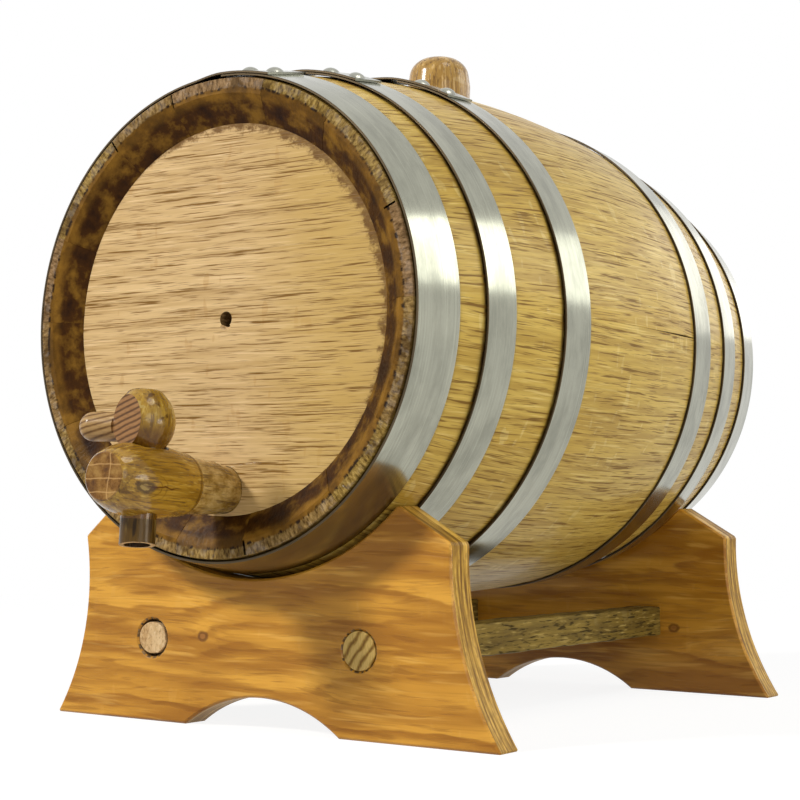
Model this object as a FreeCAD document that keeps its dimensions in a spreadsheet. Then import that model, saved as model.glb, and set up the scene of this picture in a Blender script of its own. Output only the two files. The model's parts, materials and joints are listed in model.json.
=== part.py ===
"""Small oak cask with a wooden tap, on a two-board stand.

Frame: +Z up, the floor is Z = 0, the cask lies along Y with its tap towards -Y, and the origin is under
the middle of the object. Every Body is drawn about the axis of the cask, of the tap or of its board, and
is then placed. Lengths are millimetres, angles are degrees.
"""
import FreeCAD, Part
import math
import os
import re
import Sketcher

V = FreeCAD.Vector
X_AXIS, Y_AXIS, Z_AXIS = V(1, 0, 0), V(0, 1, 0), V(0, 0, 1)
NO_TURN = FreeCAD.Rotation()
doc = FreeCAD.newDocument("OakCask")

# ---------------------------------------------------------------- driving dimensions
DIMENSIONS = {
    # cask, whose axis lies a little left of the stand's middle
    "cask_length": 280,
    "cask_left": 2.5,
    "chime_radius": 87.5,
    "bilge_radius": 105,
    "stave_thick": 14,
    "stave_pairs": 7,
    "bung_stave_angle": 29,
    "chime_flat": 5.5,
    "head_setback": 7,
    "head_sight_radius": 72,
    "croze_width": 5,
    "croze_depth": 4,
    "croze_back_lip": 1.5,
    # heads
    "head_thick": 10,
    "head_back_bevel": 5,
    "head_fit": 0.05,
    "middle_board": 50,
    "dowel_dia": 5,
    "dowel_length": 20,
    "dowel_spread": 60,
    "centre_hole_dia": 5.6,
    "centre_hole_deep": 6,
    # hoops: the chime and bilge hoops by their distance from their own end of the cask, and the quarter
    # hoops by their distance from the cradle beside them
    "hoop_thick": 0.9,
    "hoop_stand_off": 0.7,
    "hoop_fit": 0.15,
    "chime_hoop_inset": 0.6,
    "chime_hoop_width": 20,
    "quarter_hoop_width": 15.5,
    "bilge_hoop_inset": 77.5,
    "bilge_hoop_width": 16.8,
    "rear_chime_hoop_width": 18.2,
    "rear_quarter_gap": 6.65,
    "hoop_lap": 26,
    "rivet_spacing": 13.5,
    "rivet_dia": 3,
    "rivet_head_dia": 6.6,
    "rivet_head_high": 1.5,
    "rivet_clearance": 0.45,
    # bung
    "bung_behind": 8,
    "bung_dia": 26,
    "bung_high": 21.5,
    "bung_round": 7,
    "bung_rise": 0.6,
    "bung_shank_dia": 20,
    "bung_tip_dia": 17.6,
    "bung_shank_long": 22,
    "taper_fit": 0.05,
    # tap, drawn about its own axis
    "tap_below_axis": 62.5,
    "tap_tilt": 3.5,
    "key_ahead": 44,
    "tap_nose": 18.5,
    "tap_nose_dia": 22,
    "tap_dia": 25.8,
    "tap_shoulder_ahead": 13,
    "tap_shoulder_dia": 21.5,
    "tap_round": 2.5,
    "tap_nose_bend": 22,
    "tap_stem_dia": 17,
    "tap_tip_dia": 14.6,
    "tap_stem_long": 24,
    "tap_bore_dia": 6,
    "key_wall": 8,
    # key
    "plug_top_dia": 14.4,
    "plug_low_dia": 12.4,
    "spout_drop": 23,
    "spout_bore_dia": 8.6,
    "port_headroom": 1,
    "knob_dia": 22.4,
    "knob_high": 19,
    "knob_gap": 0.4,
    "knob_low_round": 6,
    "knob_top_round": 7,
    "knob_flat": 9,
    "knob_flat_turn": 8,
    "peg_dia": 9.6,
    "peg_reach": 21.5,
    "peg_turn": 60,
    "peg_below_middle": 1.8,
    "peg_deep": 7,
    # stand
    "axis_height": 150.5,
    "cradle_thick": 12.7,
    "cradle_clearance": 0.25,
    "seat_fit": 0.3,
    "horn_below_axis": 67.5,
    "shoulder_below_axis": 80.5,
    "shoulder_left": 85,
    "shoulder_right": 87.2,
    "foot_left": 99,
    "flare_left_radius": 95,
    "flare_right_radius": 119,
    "arch_span": 72,
    "arch_right": 4,
    "arch_height": 12,
    "edge_chamfer": 1,
    "horn_round": 1.5,
    "shoulder_round": 2.5,
    "stretcher_side": 12.8,
    "stretcher_spacing": 97.6,
    "stretcher_height": 31.5,
    "stretcher_chamfer": 0.6,
    "screw_plug_dia": 14,
    "screw_plug_deep": 5,
    "screw_dia": 4,
    "screw_head_dia": 8,
    "screw_head_high": 2.6,
    "screw_long": 34,
}

NAMED = {alias: "Sizes." + alias for alias in DIMENSIONS}

sheet = doc.addObject("Spreadsheet::Sheet", "Sizes")
for row, (alias, size) in enumerate(DIMENSIONS.items(), start=1):
    sheet.set("A%d" % row, alias)
    sheet.set("B%d" % row, str(size))
    sheet.setAlias("B%d" % row, alias)
doc.recompute()

gauge = doc.addObject("App::FeaturePython", "Gauge")
gauge.addProperty("App::PropertyFloat", "Reading")


def sized(formula):
    """Write a formula over the sheet's names as an expression, such as cask_length / 2."""
    return re.sub(r"[a-z_]+", lambda word: NAMED.get(word.group(), word.group()), formula)


def value(formula):
    """The number that a formula gives now."""
    gauge.setExpression("Reading", sized(formula))
    gauge.recompute()
    return gauge.Reading


# ---------------------------------------------------------------- shared formulas
HALF = "cask_length / 2"
RISE = "( bilge_radius - chime_radius )"
BEND = "( ( cask_length ^ 2 / 4 + %s ^ 2 ) / ( 2 * %s ) )" % (RISE, RISE)


def stave_radius(station):
    """Outer radius of the cask at a distance along Y from its middle."""
    return "( bilge_radius - %s + sqrt( %s ^ 2 - ( %s ) ^ 2 ) )" % (BEND, BEND, station)


# the object's length runs from the nose of the tap to the rear end of the staves
TAP_REACH = "( ( key_ahead + tap_nose ) * cos( tap_tilt ) + tap_nose_dia / 2 * sin( tap_tilt ) )"
CASK_MIDDLE_Y = "( ( %s - head_setback ) / 2 )" % TAP_REACH
# the front cradle fills the space between the chime hoop and the quarter hoop, and the rear one mirrors it
CRADLE_OUTER = "( %s - chime_hoop_inset - chime_hoop_width - cradle_clearance )" % HALF
CRADLE_STATION = "( %s - cradle_thick / 2 )" % CRADLE_OUTER
CRADLE_INNER = "( %s - cradle_thick )" % CRADLE_OUTER
SIDES = {"left": "-", "right": ""}
CASK_X = "( - cask_left )"
TOLERANCE = 0.01


# ---------------------------------------------------------------- drawing helpers
def origin_part(body, role):
    return next(part for part in body.Origin.OriginFeatures if part.Role == role)


def new_body(label):
    body = doc.addObject("PartDesign::Body", label)
    body.Label = label
    return body


def new_sketch(body, name, plane, offset=None):
    sketch = body.newObject("Sketcher::SketchObject", name)
    sketch.AttachmentSupport = [(origin_part(body, plane), "")]
    sketch.MapMode = "FlatFace"
    if offset is not None:
        sketch.AttachmentOffset = offset
    return sketch


def bind(sketch, kind, *references):
    """Add one dimension to a sketch, driven by the formula that comes last."""
    *where, formula = references
    index = sketch.addConstraint(Sketcher.Constraint(kind, *where, value(formula)))
    sketch.setExpression("Constraints[%d]" % index, sized(formula))


def draw_outline(sketch, corners, arcs=None):
    """Closed outline through corners (pairs of formulas).

    arcs gives the radius of the arc that follows a corner: {corner index: (radius formula, side)}, where
    side +1 turns left (anticlockwise) and -1 turns right.
    """
    arcs = arcs or {}
    points = [V(value(x), value(y), 0) for x, y in corners]
    first = sketch.GeometryCount
    start_end = []
    for index, point in enumerate(points):
        following = points[(index + 1) % len(points)]
        if index in arcs:
            radius = value(arcs[index][0])
            side = arcs[index][1]
            chord = following - point
            middle = (point + following) * 0.5
            across = V(-chord.y, chord.x, 0).normalize()
            depth = math.sqrt(radius ** 2 - (chord.Length / 2) ** 2)
            centre = middle + across * depth * side
            ends = [point, following] if side > 0 else [following, point]
            angles = [math.atan2(end.y - centre.y, end.x - centre.x) for end in ends]
            circle = Part.Circle(centre, Z_AXIS, radius)
            sketch.addGeometry(Part.ArcOfCircle(circle, angles[0], angles[1]), False)
            start_end.append((1, 2) if side > 0 else (2, 1))
        else:
            sketch.addGeometry(Part.LineSegment(point, following), False)
            start_end.append((1, 2))
    count = len(points)
    for index, (x, y) in enumerate(corners):
        piece = first + index
        following = (index + 1) % count
        sketch.addConstraint(
            Sketcher.Constraint(
                "Coincident", piece, start_end[index][1], first + following, start_end[following][0]
            )
        )
        bind(sketch, "DistanceX", -1, 1, piece, start_end[index][0], x)
        bind(sketch, "DistanceY", -1, 1, piece, start_end[index][0], y)
        if index in arcs:
            bind(sketch, "Radius", piece, arcs[index][0])


def draw_circle(sketch, x, y, diameter):
    piece = sketch.addGeometry(Part.Circle(V(value(x), value(y), 0), Z_AXIS, value(diameter) / 2), False)
    bind(sketch, "DistanceX", -1, 1, piece, 3, x)
    bind(sketch, "DistanceY", -1, 1, piece, 3, y)
    bind(sketch, "Diameter", piece, diameter)


def revolve(body, sketch, axis="H_Axis", angle="360", kind="PartDesign::Revolution"):
    """Turn a sketch about its own axis, half of the angle to each side of its plane."""
    turned = body.newObject(kind, sketch.Name + "Turned")
    turned.Profile = sketch
    turned.ReferenceAxis = (sketch, [axis])
    turned.Midplane = True
    turned.setExpression("Angle", sized(angle))
    doc.recompute()
    return turned


def extrude(body, sketch, length, kind="PartDesign::Pad", both_ways=True, flipped=False):
    """Pad or pocket a sketch, centred on its plane or to one side of it."""
    made = body.newObject(kind, sketch.Name + "Made")
    made.Profile = sketch
    made.SideType = "Symmetric" if both_ways else "One side"
    made.Reversed = flipped
    made.setExpression("Length", sized(length))
    doc.recompute()
    return made


def pocket(body, sketch, length, both_ways=True, flipped=False):
    """Pocket that has to take material away."""
    before = body.Shape.Volume
    made = extrude(body, sketch, length, "PartDesign::Pocket", both_ways, flipped)
    if not body.Shape.Volume < before - TOLERANCE:
        raise ValueError("%s of %s cuts nothing" % (sketch.Name, body.Label))
    return made


def place(thing, x="0", y="0", z="0", axis=Z_AXIS, turn="0"):
    """Place a sub-part by formulas: a turn about an axis through its origin, then a move."""
    thing.Placement = FreeCAD.Placement(
        V(value(x), value(y), value(z)), FreeCAD.Rotation(axis, value(turn))
    )
    for name, formula in (("x", x), ("y", y), ("z", z)):
        thing.setExpression("Placement.Base." + name, sized(formula))
    if turn != "0":
        thing.setExpression("Placement.Rotation.Angle", sized(turn))


def place_on_cask(thing, turn="0"):
    place(thing, CASK_X, CASK_MIDDLE_Y, "axis_height", Y_AXIS, turn)


# ---------------------------------------------------------------- staves
INNER_END_RADIUS = "( head_sight_radius + croze_depth - croze_back_lip )"
BELLY_HALF = "( %s - head_setback - croze_width )" % HALF
BELLY_RISE = "( bilge_radius - stave_thick - %s )" % INNER_END_RADIUS
BELLY_BEND = "( ( %s ^ 2 + %s ^ 2 ) / ( 2 * %s ) )" % (BELLY_HALF, BELLY_RISE, BELLY_RISE)
CROZE_RADIUS = "( head_sight_radius + croze_depth )"
NARROW_ANGLE = "( 360 / stave_pairs - bung_stave_angle )"


def stave_section():
    """Corners of a stave cut along the cask, from the front end round to the front croze."""
    front_to_back = [
        ("- %s" % HALF, "chime_radius"),
        (HALF, "chime_radius"),
        (HALF, "chime_radius - chime_flat"),
        ("%s - head_setback" % HALF, "head_sight_radius"),
        ("%s - head_setback" % HALF, CROZE_RADIUS),
        (BELLY_HALF, CROZE_RADIUS),
        (BELLY_HALF, INNER_END_RADIUS),
    ]
    back_to_front = [("- ( %s )" % y, z) for y, z in reversed(front_to_back[2:])]
    return front_to_back + back_to_front


# the bung's taper starts above the stave and ends below it, so that the hole goes right through
BUNG_TOP = "( bilge_radius + bung_rise )"
BUNG_TIP = "( bilge_radius - bung_shank_long )"


def bung_sketch(body, name):
    """Sketch in the YZ plane about the bung's own axis."""
    sketch = new_sketch(body, name, "YZ_Plane", FreeCAD.Placement(V(value("bung_behind"), 0, 0), NO_TURN))
    sketch.setExpression("AttachmentOffset.Base.x", sized("bung_behind"))
    return sketch


def draw_bung_shank(sketch, extra):
    """Half of the tapered shank, made larger in radius by extra."""
    draw_outline(
        sketch,
        [
            ("0", BUNG_TIP),
            ("bung_tip_dia / 2 + " + extra, BUNG_TIP),
            ("bung_shank_dia / 2 + " + extra, BUNG_TOP),
            ("0", BUNG_TOP),
        ],
    )


def make_stave(number, angle, turn, bored=False):
    body = new_body("stave_%02d" % number)
    sketch = new_sketch(body, "StaveSection%02d" % number, "YZ_Plane")
    draw_outline(sketch, stave_section(), {0: (BEND, -1), 6: (BELLY_BEND, 1)})
    revolve(body, sketch, angle=angle)
    if bored:
        hole = bung_sketch(body, "BungHole")
        draw_bung_shank(hole, "taper_fit")
        revolve(body, hole, "V_Axis", kind="PartDesign::Groove")
    place_on_cask(body, turn)


def make_staves():
    pairs = int(value("stave_pairs"))
    for pair in range(pairs):
        wide_turn = "%d * 360 / stave_pairs" % pair
        narrow_turn = "%d * 180 / stave_pairs" % (2 * pair + 1)
        make_stave(2 * pair + 1, "bung_stave_angle", wide_turn, bored=pair == 0)
        make_stave(2 * pair + 2, NARROW_ANGLE, narrow_turn)


# ---------------------------------------------------------------- heads
HEAD_RADIUS = "( %s - head_fit )" % CROZE_RADIUS
TAP_HEAD_Y = "( head_setback - %s )" % HALF


def head_disc(body, name):
    """The whole round head about the cask's axis: its face at y = 0, its back towards +Y."""
    sketch = new_sketch(body, name, "YZ_Plane")
    draw_outline(
        sketch,
        [
            ("0", "0"),
            ("head_thick", "0"),
            ("head_thick", "%s - head_back_bevel" % HEAD_RADIUS),
            ("croze_width - head_fit", "%s - head_fit" % INNER_END_RADIUS),
            ("croze_width - head_fit", HEAD_RADIUS),
            ("0", HEAD_RADIUS),
        ],
    )
    revolve(body, sketch)


def cut_band(body, name, low, high):
    """Take away what lies between two heights, over the whole head."""
    sketch = new_sketch(body, name, "XZ_Plane")
    side = HEAD_RADIUS
    draw_outline(sketch, [("- " + side, low), (side, low), (side, high), ("- " + side, high)])
    pocket(body, sketch, "4 * head_thick")


def dowel_holes(body, name, joint):
    """Dowel holes that cross the joint at the height given."""
    sketch = new_sketch(body, name, "XY_Plane", FreeCAD.Placement(V(0, 0, value(joint)), NO_TURN))
    sketch.setExpression("AttachmentOffset.Base.z", sized(joint))
    for side in SIDES.values():
        draw_circle(sketch, side + " dowel_spread / 2", "head_thick / 2", "dowel_dia")
    pocket(body, sketch, "dowel_length")


LOW_JOINT = "- middle_board / 2"
HIGH_JOINT = "middle_board / 2"
# for each board, the height of each of its joints and the band beyond it that belongs to its neighbours
BOARDS = {
    "top": [(HIGH_JOINT, "- %s" % HEAD_RADIUS, HIGH_JOINT)],
    "middle": [(HIGH_JOINT, HIGH_JOINT, HEAD_RADIUS), (LOW_JOINT, "- %s" % HEAD_RADIUS, LOW_JOINT)],
    "bottom": [(LOW_JOINT, LOW_JOINT, HEAD_RADIUS)],
}


def make_head_board(end, board):
    label = "%s_head_%s" % (end, board)
    body = new_body(label)
    tag = end.capitalize() + board.capitalize()
    head_disc(body, "Disc" + tag)
    for count, (joint, low, high) in enumerate(BOARDS[board], start=1):
        cut_band(body, "Band%s%d" % (tag, count), low, high)
        dowel_holes(body, "Dowels%s%d" % (tag, count), joint)
    if label == "front_head_middle":
        mark = new_sketch(body, "CentreMark", "XZ_Plane")
        draw_circle(mark, "0", "0", "centre_hole_dia")
        pocket(body, mark, "2 * centre_hole_deep")
    if label == "front_head_bottom":
        hole = new_sketch(body, "TapHole", "YZ_Plane")
        tilt_about_head(hole)
        draw_stem(hole, "taper_fit")
        revolve(body, hole, kind="PartDesign::Groove")
    place_head(body, end)


def place_head(thing, end):
    """A front head faces -Y. A rear head is the same disc turned round to face +Y."""
    if end == "front":
        place(thing, CASK_X, "%s + %s" % (CASK_MIDDLE_Y, TAP_HEAD_Y), "axis_height")
    else:
        place(thing, CASK_X, "%s - %s" % (CASK_MIDDLE_Y, TAP_HEAD_Y), "axis_height", Z_AXIS, "180")


def make_dowels(end):
    pins = []
    for height in (LOW_JOINT, HIGH_JOINT):
        for side in SIDES.values():
            pin = doc.addObject("Part::Cylinder", "HeadDowel")
            pin.setExpression("Radius", sized("dowel_dia / 2"))
            pin.setExpression("Height", sized("dowel_length"))
            place(pin, side + " dowel_spread / 2", "head_thick / 2", height + " - dowel_length / 2")
            pins.append(pin)
    group = doc.addObject("Part::Compound", "%s_head_dowels" % end)
    group.Label = "%s_head_dowels" % end
    group.Links = pins
    place_head(group, end)


# ---------------------------------------------------------------- hoops and rivets
FRONT_QUARTER_INSET = "( %s - %s + cradle_clearance )" % (HALF, CRADLE_INNER)
REAR_QUARTER_INSET = "( %s - %s + rear_quarter_gap )" % (HALF, CRADLE_INNER)
HOOPS = {
    "hoop_chime_front": (-1, "chime_hoop_inset", "chime_hoop_width"),
    "hoop_quarter_front": (-1, FRONT_QUARTER_INSET, "quarter_hoop_width"),
    "hoop_bilge_front": (-1, "bilge_hoop_inset", "bilge_hoop_width"),
    "hoop_bilge_rear": (1, "bilge_hoop_inset", "bilge_hoop_width"),
    "hoop_quarter_rear": (1, REAR_QUARTER_INSET, "quarter_hoop_width"),
    "hoop_chime_rear": (1, "chime_hoop_inset", "rear_chime_hoop_width"),
}
# the laps are not in line: each hoop is turned a little against its neighbour
LAP_TURNS = {
    "hoop_chime_front": "8",
    "hoop_quarter_front": "16",
    "hoop_bilge_front": "22",
    "hoop_bilge_rear": "- 14",
    "hoop_quarter_rear": "- 20",
    "hoop_chime_rear": "- 9",
}


def hoop_stations(name):
    """Outer station (towards the chime), inner station and the radii of the band there."""
    end, inset, width = HOOPS[name]
    outer = "( %s - %s )" % (HALF, inset)
    inner = "( %s - %s - %s )" % (HALF, inset, width)
    outer_radius = "( %s + hoop_stand_off )" % stave_radius(outer)
    inner_radius = "( %s + hoop_fit )" % stave_radius(inner)
    return end, outer, inner, outer_radius, inner_radius


def hoop_band(sketch, name, lift):
    """Section of the strip, lifted off the staves by so many thicknesses."""
    end, outer, inner, outer_radius, inner_radius = hoop_stations(name)
    sign = "- " if end < 0 else ""
    corners = [
        (sign + outer, "%s + %s * hoop_thick" % (outer_radius, lift)),
        (sign + inner, "%s + %s * hoop_thick" % (inner_radius, lift)),
        (sign + inner, "%s + ( %s + 1 ) * hoop_thick" % (inner_radius, lift)),
        (sign + outer, "%s + ( %s + 1 ) * hoop_thick" % (outer_radius, lift)),
    ]
    draw_outline(sketch, corners)


def hoop_middle(name):
    """Station of the middle of the strip with its sign, and the inner radius of the strip there."""
    end, outer, inner, outer_radius, inner_radius = hoop_stations(name)
    sign = "- " if end < 0 else ""
    return sign + "( %s + %s ) / 2" % (outer, inner), "( %s + %s ) / 2" % (outer_radius, inner_radius)


def hoop_slope(name):
    """Angle of the strip to the cask's axis. Both ends of the cask narrow, so the sign follows the end."""
    end, outer, inner, outer_radius, inner_radius = hoop_stations(name)
    return "%d * atan( ( %s - %s ) / ( %s - %s ) )" % (-end, inner_radius, outer_radius, outer, inner)


def rivet_turn(side):
    """Angle of a rivet from the middle of its lap."""
    return side + " rivet_spacing / 2 / bilge_radius * 180 / pi"


def make_hoop(name):
    body = new_body(name)
    band = new_sketch(body, "Band_" + name, "YZ_Plane")
    hoop_band(band, name, "0")
    revolve(body, band)
    lap = new_sketch(body, "Lap_" + name, "YZ_Plane")
    hoop_band(lap, name, "1")
    revolve(body, lap, angle="hoop_lap / bilge_radius * 180 / pi")
    station = hoop_middle(name)[0]
    for tag, side in SIDES.items():
        turn = FreeCAD.Rotation(Y_AXIS, value(rivet_turn(side)))
        hole = new_sketch(body, "RivetHole_%s_%s" % (tag, name), "XY_Plane", FreeCAD.Placement(V(), turn))
        hole.setExpression("AttachmentOffset.Rotation.Angle", sized(rivet_turn(side)))
        draw_circle(hole, "0", station, "rivet_dia + 2 * rivet_clearance")
        pocket(body, hole, "2 * bilge_radius", both_ways=False, flipped=True)
    place_on_cask(body, LAP_TURNS[name])


def make_rivet(name, side):
    """Rivet square to the strip: a shank through both layers of the lap and a domed head outside."""
    station, radius = hoop_middle(name)
    seat = "%s + 2 * hoop_thick" % radius
    slope = hoop_slope(name)
    body = new_body("Rivet")
    tilt = FreeCAD.Rotation(Z_AXIS, value(slope))
    offset = FreeCAD.Placement(V(value(station), value(seat), 0), tilt)
    sketch = new_sketch(body, "RivetSection", "YZ_Plane", offset)
    sketch.setExpression("AttachmentOffset.Base.x", sized(station))
    sketch.setExpression("AttachmentOffset.Base.y", sized(seat))
    sketch.setExpression("AttachmentOffset.Rotation.Angle", sized(slope))
    dome = "( ( rivet_head_dia ^ 2 / 4 + rivet_head_high ^ 2 ) / ( 2 * rivet_head_high ) )"
    draw_outline(
        sketch,
        [
            ("0", "- 2 * hoop_thick * cos( %s )" % slope),
            ("rivet_dia / 2", "- 2 * hoop_thick * cos( %s )" % slope),
            ("rivet_dia / 2", "0"),
            ("rivet_head_dia / 2", "0"),
            ("0", "rivet_head_high"),
        ],
        {3: (dome, 1)},
    )
    revolve(body, sketch, "V_Axis")
    place_on_cask(body, "%s + %s" % (LAP_TURNS[name], rivet_turn(side)))
    return body


def make_hoops():
    rivets = []
    for name in HOOPS:
        make_hoop(name)
        rivets += [make_rivet(name, side) for side in SIDES.values()]
    group = doc.addObject("Part::Compound", "hoop_rivets")
    group.Label = "hoop_rivets"
    group.Links = rivets


# ---------------------------------------------------------------- bung
def make_bung():
    body = new_body("bung")
    shank = bung_sketch(body, "BungShank")
    draw_bung_shank(shank, "0")
    revolve(body, shank, "V_Axis")
    knob = bung_sketch(body, "BungKnob")
    draw_outline(
        knob,
        [
            ("0", BUNG_TOP),
            ("bung_dia / 2", BUNG_TOP),
            ("bung_dia / 2", BUNG_TOP + " + bung_high - bung_round"),
            ("bung_dia / 2 - bung_round", BUNG_TOP + " + bung_high"),
            ("0", BUNG_TOP + " + bung_high"),
        ],
        {2: ("bung_round", 1)},
    )
    revolve(body, knob, "V_Axis")
    place_on_cask(body)


# ---------------------------------------------------------------- tap
def tilt_about_head(sketch):
    """Turn and move a sketch from the middle of the head's face onto the tap's axis."""
    turn = FreeCAD.Rotation(Z_AXIS, -value("tap_tilt"))
    sketch.AttachmentOffset = FreeCAD.Placement(V(0, -value("tap_below_axis"), 0), turn)
    sketch.setExpression("AttachmentOffset.Base.y", sized("- tap_below_axis"))
    sketch.setExpression("AttachmentOffset.Rotation.Angle", sized("- tap_tilt"))


STEM_FRONT = "- tap_shoulder_ahead"
STEM_TAPER = "( ( tap_stem_dia - tap_tip_dia ) / 2 / tap_stem_long )"
STEM_ROOT_RADIUS = "( tap_stem_dia / 2 + tap_shoulder_ahead * %s )" % STEM_TAPER


def draw_stem(sketch, extra):
    """Half of the tap's tapered stem about the tap's axis, made larger in radius by extra."""
    draw_outline(
        sketch,
        [
            (STEM_FRONT, "0"),
            ("tap_stem_long", "0"),
            ("tap_stem_long", "tap_tip_dia / 2 + %s" % extra),
            (STEM_FRONT, "%s + %s" % (STEM_ROOT_RADIUS, extra)),
        ],
    )


KEY_PLUG_LOW = "( - tap_dia / 2 )"
KNOB_LOW = "( tap_dia / 2 + knob_gap )"
KNOB_TOP = "( %s + knob_high )" % KNOB_LOW
# the knob's round underside meets the plug a little above the barrel
KNOB_ROUND_SIDE = "( plug_top_dia / 2 - knob_dia / 2 + knob_low_round )"
KNOB_ROUND_UP = "( sqrt( knob_low_round ^ 2 - %s ^ 2 ) )" % KNOB_ROUND_SIDE
KNOB_ROUND_LOW = "( %s + knob_low_round - %s )" % (KNOB_LOW, KNOB_ROUND_UP)
SPOUT_LOW = "( - spout_drop )"
PEG_HEIGHT = "( %s + knob_high / 2 - peg_below_middle )" % KNOB_LOW


def make_tap():
    body = new_body("tap_body")
    stem = new_sketch(body, "Stem", "YZ_Plane")
    draw_stem(stem, "0")
    revolve(body, stem)
    barrel = new_sketch(body, "Barrel", "YZ_Plane")
    draw_outline(
        barrel,
        [
            ("- key_ahead - tap_nose", "0"),
            (STEM_FRONT, "0"),
            (STEM_FRONT, "tap_shoulder_dia / 2 - tap_round"),
            (STEM_FRONT + " - tap_round", "tap_shoulder_dia / 2"),
            ("- key_ahead + key_wall", "tap_dia / 2"),
            ("- key_ahead - key_wall", "tap_dia / 2"),
            ("- key_ahead - tap_nose", "tap_nose_dia / 2"),
        ],
        {2: ("tap_round", 1), 5: ("tap_nose_bend", 1)},
    )
    revolve(body, barrel)
    hole = key_sketch(body, "KeyHole")
    draw_outline(
        hole,
        [
            ("0", KEY_PLUG_LOW + " - knob_gap"),
            ("plug_low_dia / 2 + taper_fit", KEY_PLUG_LOW + " - knob_gap"),
            ("plug_top_dia / 2 + taper_fit", KNOB_LOW),
            ("0", KNOB_LOW),
        ],
    )
    revolve(body, hole, "V_Axis", kind="PartDesign::Groove")
    inlet = FreeCAD.Placement(V(0, 0, -value("tap_stem_long")), NO_TURN)
    bore = new_sketch(body, "Bore", "XZ_Plane", inlet)
    bore.setExpression("AttachmentOffset.Base.z", sized("- tap_stem_long"))
    draw_circle(bore, "0", "0", "tap_bore_dia")
    pocket(body, bore, "tap_stem_long + key_ahead", both_ways=False, flipped=True)
    place_on_tap(body)


def place_on_tap(thing):
    """The tap's axis leaves the head's face below the middle and rises towards the nose."""
    forward = "%s + %s" % (CASK_MIDDLE_Y, TAP_HEAD_Y)
    place(thing, CASK_X, forward, "axis_height - tap_below_axis", X_AXIS, "- tap_tilt")


# ---------------------------------------------------------------- key
def key_sketch(body, name):
    """Sketch in the YZ plane whose origin is where the key's axis crosses the tap's."""
    sketch = new_sketch(body, name, "YZ_Plane", FreeCAD.Placement(V(-value("key_ahead"), 0, 0), NO_TURN))
    sketch.setExpression("AttachmentOffset.Base.x", sized("- key_ahead"))
    return sketch


def draw_peg(body, name):
    """Half of the thumb peg about its own axis, which points left of the tap's nose."""
    turn = FreeCAD.Rotation(Z_AXIS, -value("peg_turn"))
    offset = FreeCAD.Placement(V(0, -value("key_ahead"), value(PEG_HEIGHT)), turn)
    sketch = new_sketch(body, name, "XY_Plane", offset)
    sketch.setExpression("AttachmentOffset.Base.y", sized("- key_ahead"))
    sketch.setExpression("AttachmentOffset.Base.z", sized(PEG_HEIGHT))
    sketch.setExpression("AttachmentOffset.Rotation.Angle", sized("- peg_turn"))
    inner = "( peg_deep - knob_dia / 2 )"
    draw_outline(
        sketch,
        [
            ("0", inner),
            ("0", "- peg_reach"),
            ("peg_dia / 2", "peg_dia / 2 - peg_reach"),
            ("peg_dia / 2", inner),
        ],
        {1: ("peg_dia / 2", 1)},
    )
    return sketch


def make_key():
    body = new_body("key")
    turned = key_sketch(body, "KeyTurned")
    bore_top = "( tap_bore_dia / 2 + port_headroom )"
    draw_outline(
        turned,
        [
            ("0", bore_top),
            ("spout_bore_dia / 2", bore_top),
            ("spout_bore_dia / 2", SPOUT_LOW),
            ("plug_low_dia / 2", SPOUT_LOW),
            ("plug_low_dia / 2", KEY_PLUG_LOW + " - knob_gap"),
            ("plug_top_dia / 2", KNOB_LOW),
            ("plug_top_dia / 2", KNOB_ROUND_LOW),
            ("knob_dia / 2", KNOB_LOW + " + knob_low_round"),
            ("knob_dia / 2", KNOB_TOP + " - knob_top_round"),
            ("knob_dia / 2 - knob_top_round", KNOB_TOP),
            ("0", KNOB_TOP),
        ],
        {6: ("knob_low_round", 1), 8: ("knob_top_round", 1)},
    )
    revolve(body, turned, "V_Axis")
    cut_port(body)
    cut_thumb_flat(body)
    revolve(body, draw_peg(body, "PegHole"), "V_Axis", kind="PartDesign::Groove")
    place_on_tap(body)


def cut_port(body):
    """Cross port in the plug. It faces +X while the tap is shut. A quarter turn brings it to the bore."""
    port = new_sketch(body, "Port", "YZ_Plane")
    draw_circle(port, "- key_ahead", "0", "tap_bore_dia")
    pocket(body, port, "plug_top_dia", both_ways=False, flipped=True)


def cut_thumb_flat(body):
    """Flat on the front of the knob, turned a little to the left."""
    away = "knob_flat * sin( knob_flat_turn )"
    ahead = "key_ahead + knob_flat * cos( knob_flat_turn )"
    turn = FreeCAD.Rotation(Y_AXIS, -value("knob_flat_turn"))
    offset = FreeCAD.Placement(V(-value(away), 0, value(ahead)), turn)
    flat = new_sketch(body, "ThumbFlat", "XZ_Plane", offset)
    flat.setExpression("AttachmentOffset.Base.x", sized("- " + away))
    flat.setExpression("AttachmentOffset.Base.z", sized(ahead))
    flat.setExpression("AttachmentOffset.Rotation.Angle", sized("- knob_flat_turn"))
    side, top = "knob_dia", KNOB_TOP + " + knob_gap"
    draw_outline(flat, [("- " + side, KNOB_LOW), (side, KNOB_LOW), (side, top), ("- " + side, top)])
    pocket(body, flat, "knob_dia", both_ways=False, flipped=True)


def make_key_peg():
    body = new_body("key_peg")
    revolve(body, draw_peg(body, "Peg"), "V_Axis")
    place_on_tap(body)


# ---------------------------------------------------------------- stand
SEAT_RADIUS = "( %s + seat_fit )" % stave_radius(CRADLE_INNER)
HORN_REACH = "( sqrt( %s ^ 2 - horn_below_axis ^ 2 ) )" % SEAT_RADIUS
HORN_HEIGHT = "( axis_height - horn_below_axis )"
SHOULDER_HEIGHT = "( axis_height - shoulder_below_axis )"
# the right feet reach as far to the right as the cask does to the left
FOOT_RIGHT = "( bilge_radius + cask_left )"
ARCH_BEND = "( ( arch_span ^ 2 / 4 + arch_height ^ 2 ) / ( 2 * arch_height ) )"


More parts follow.
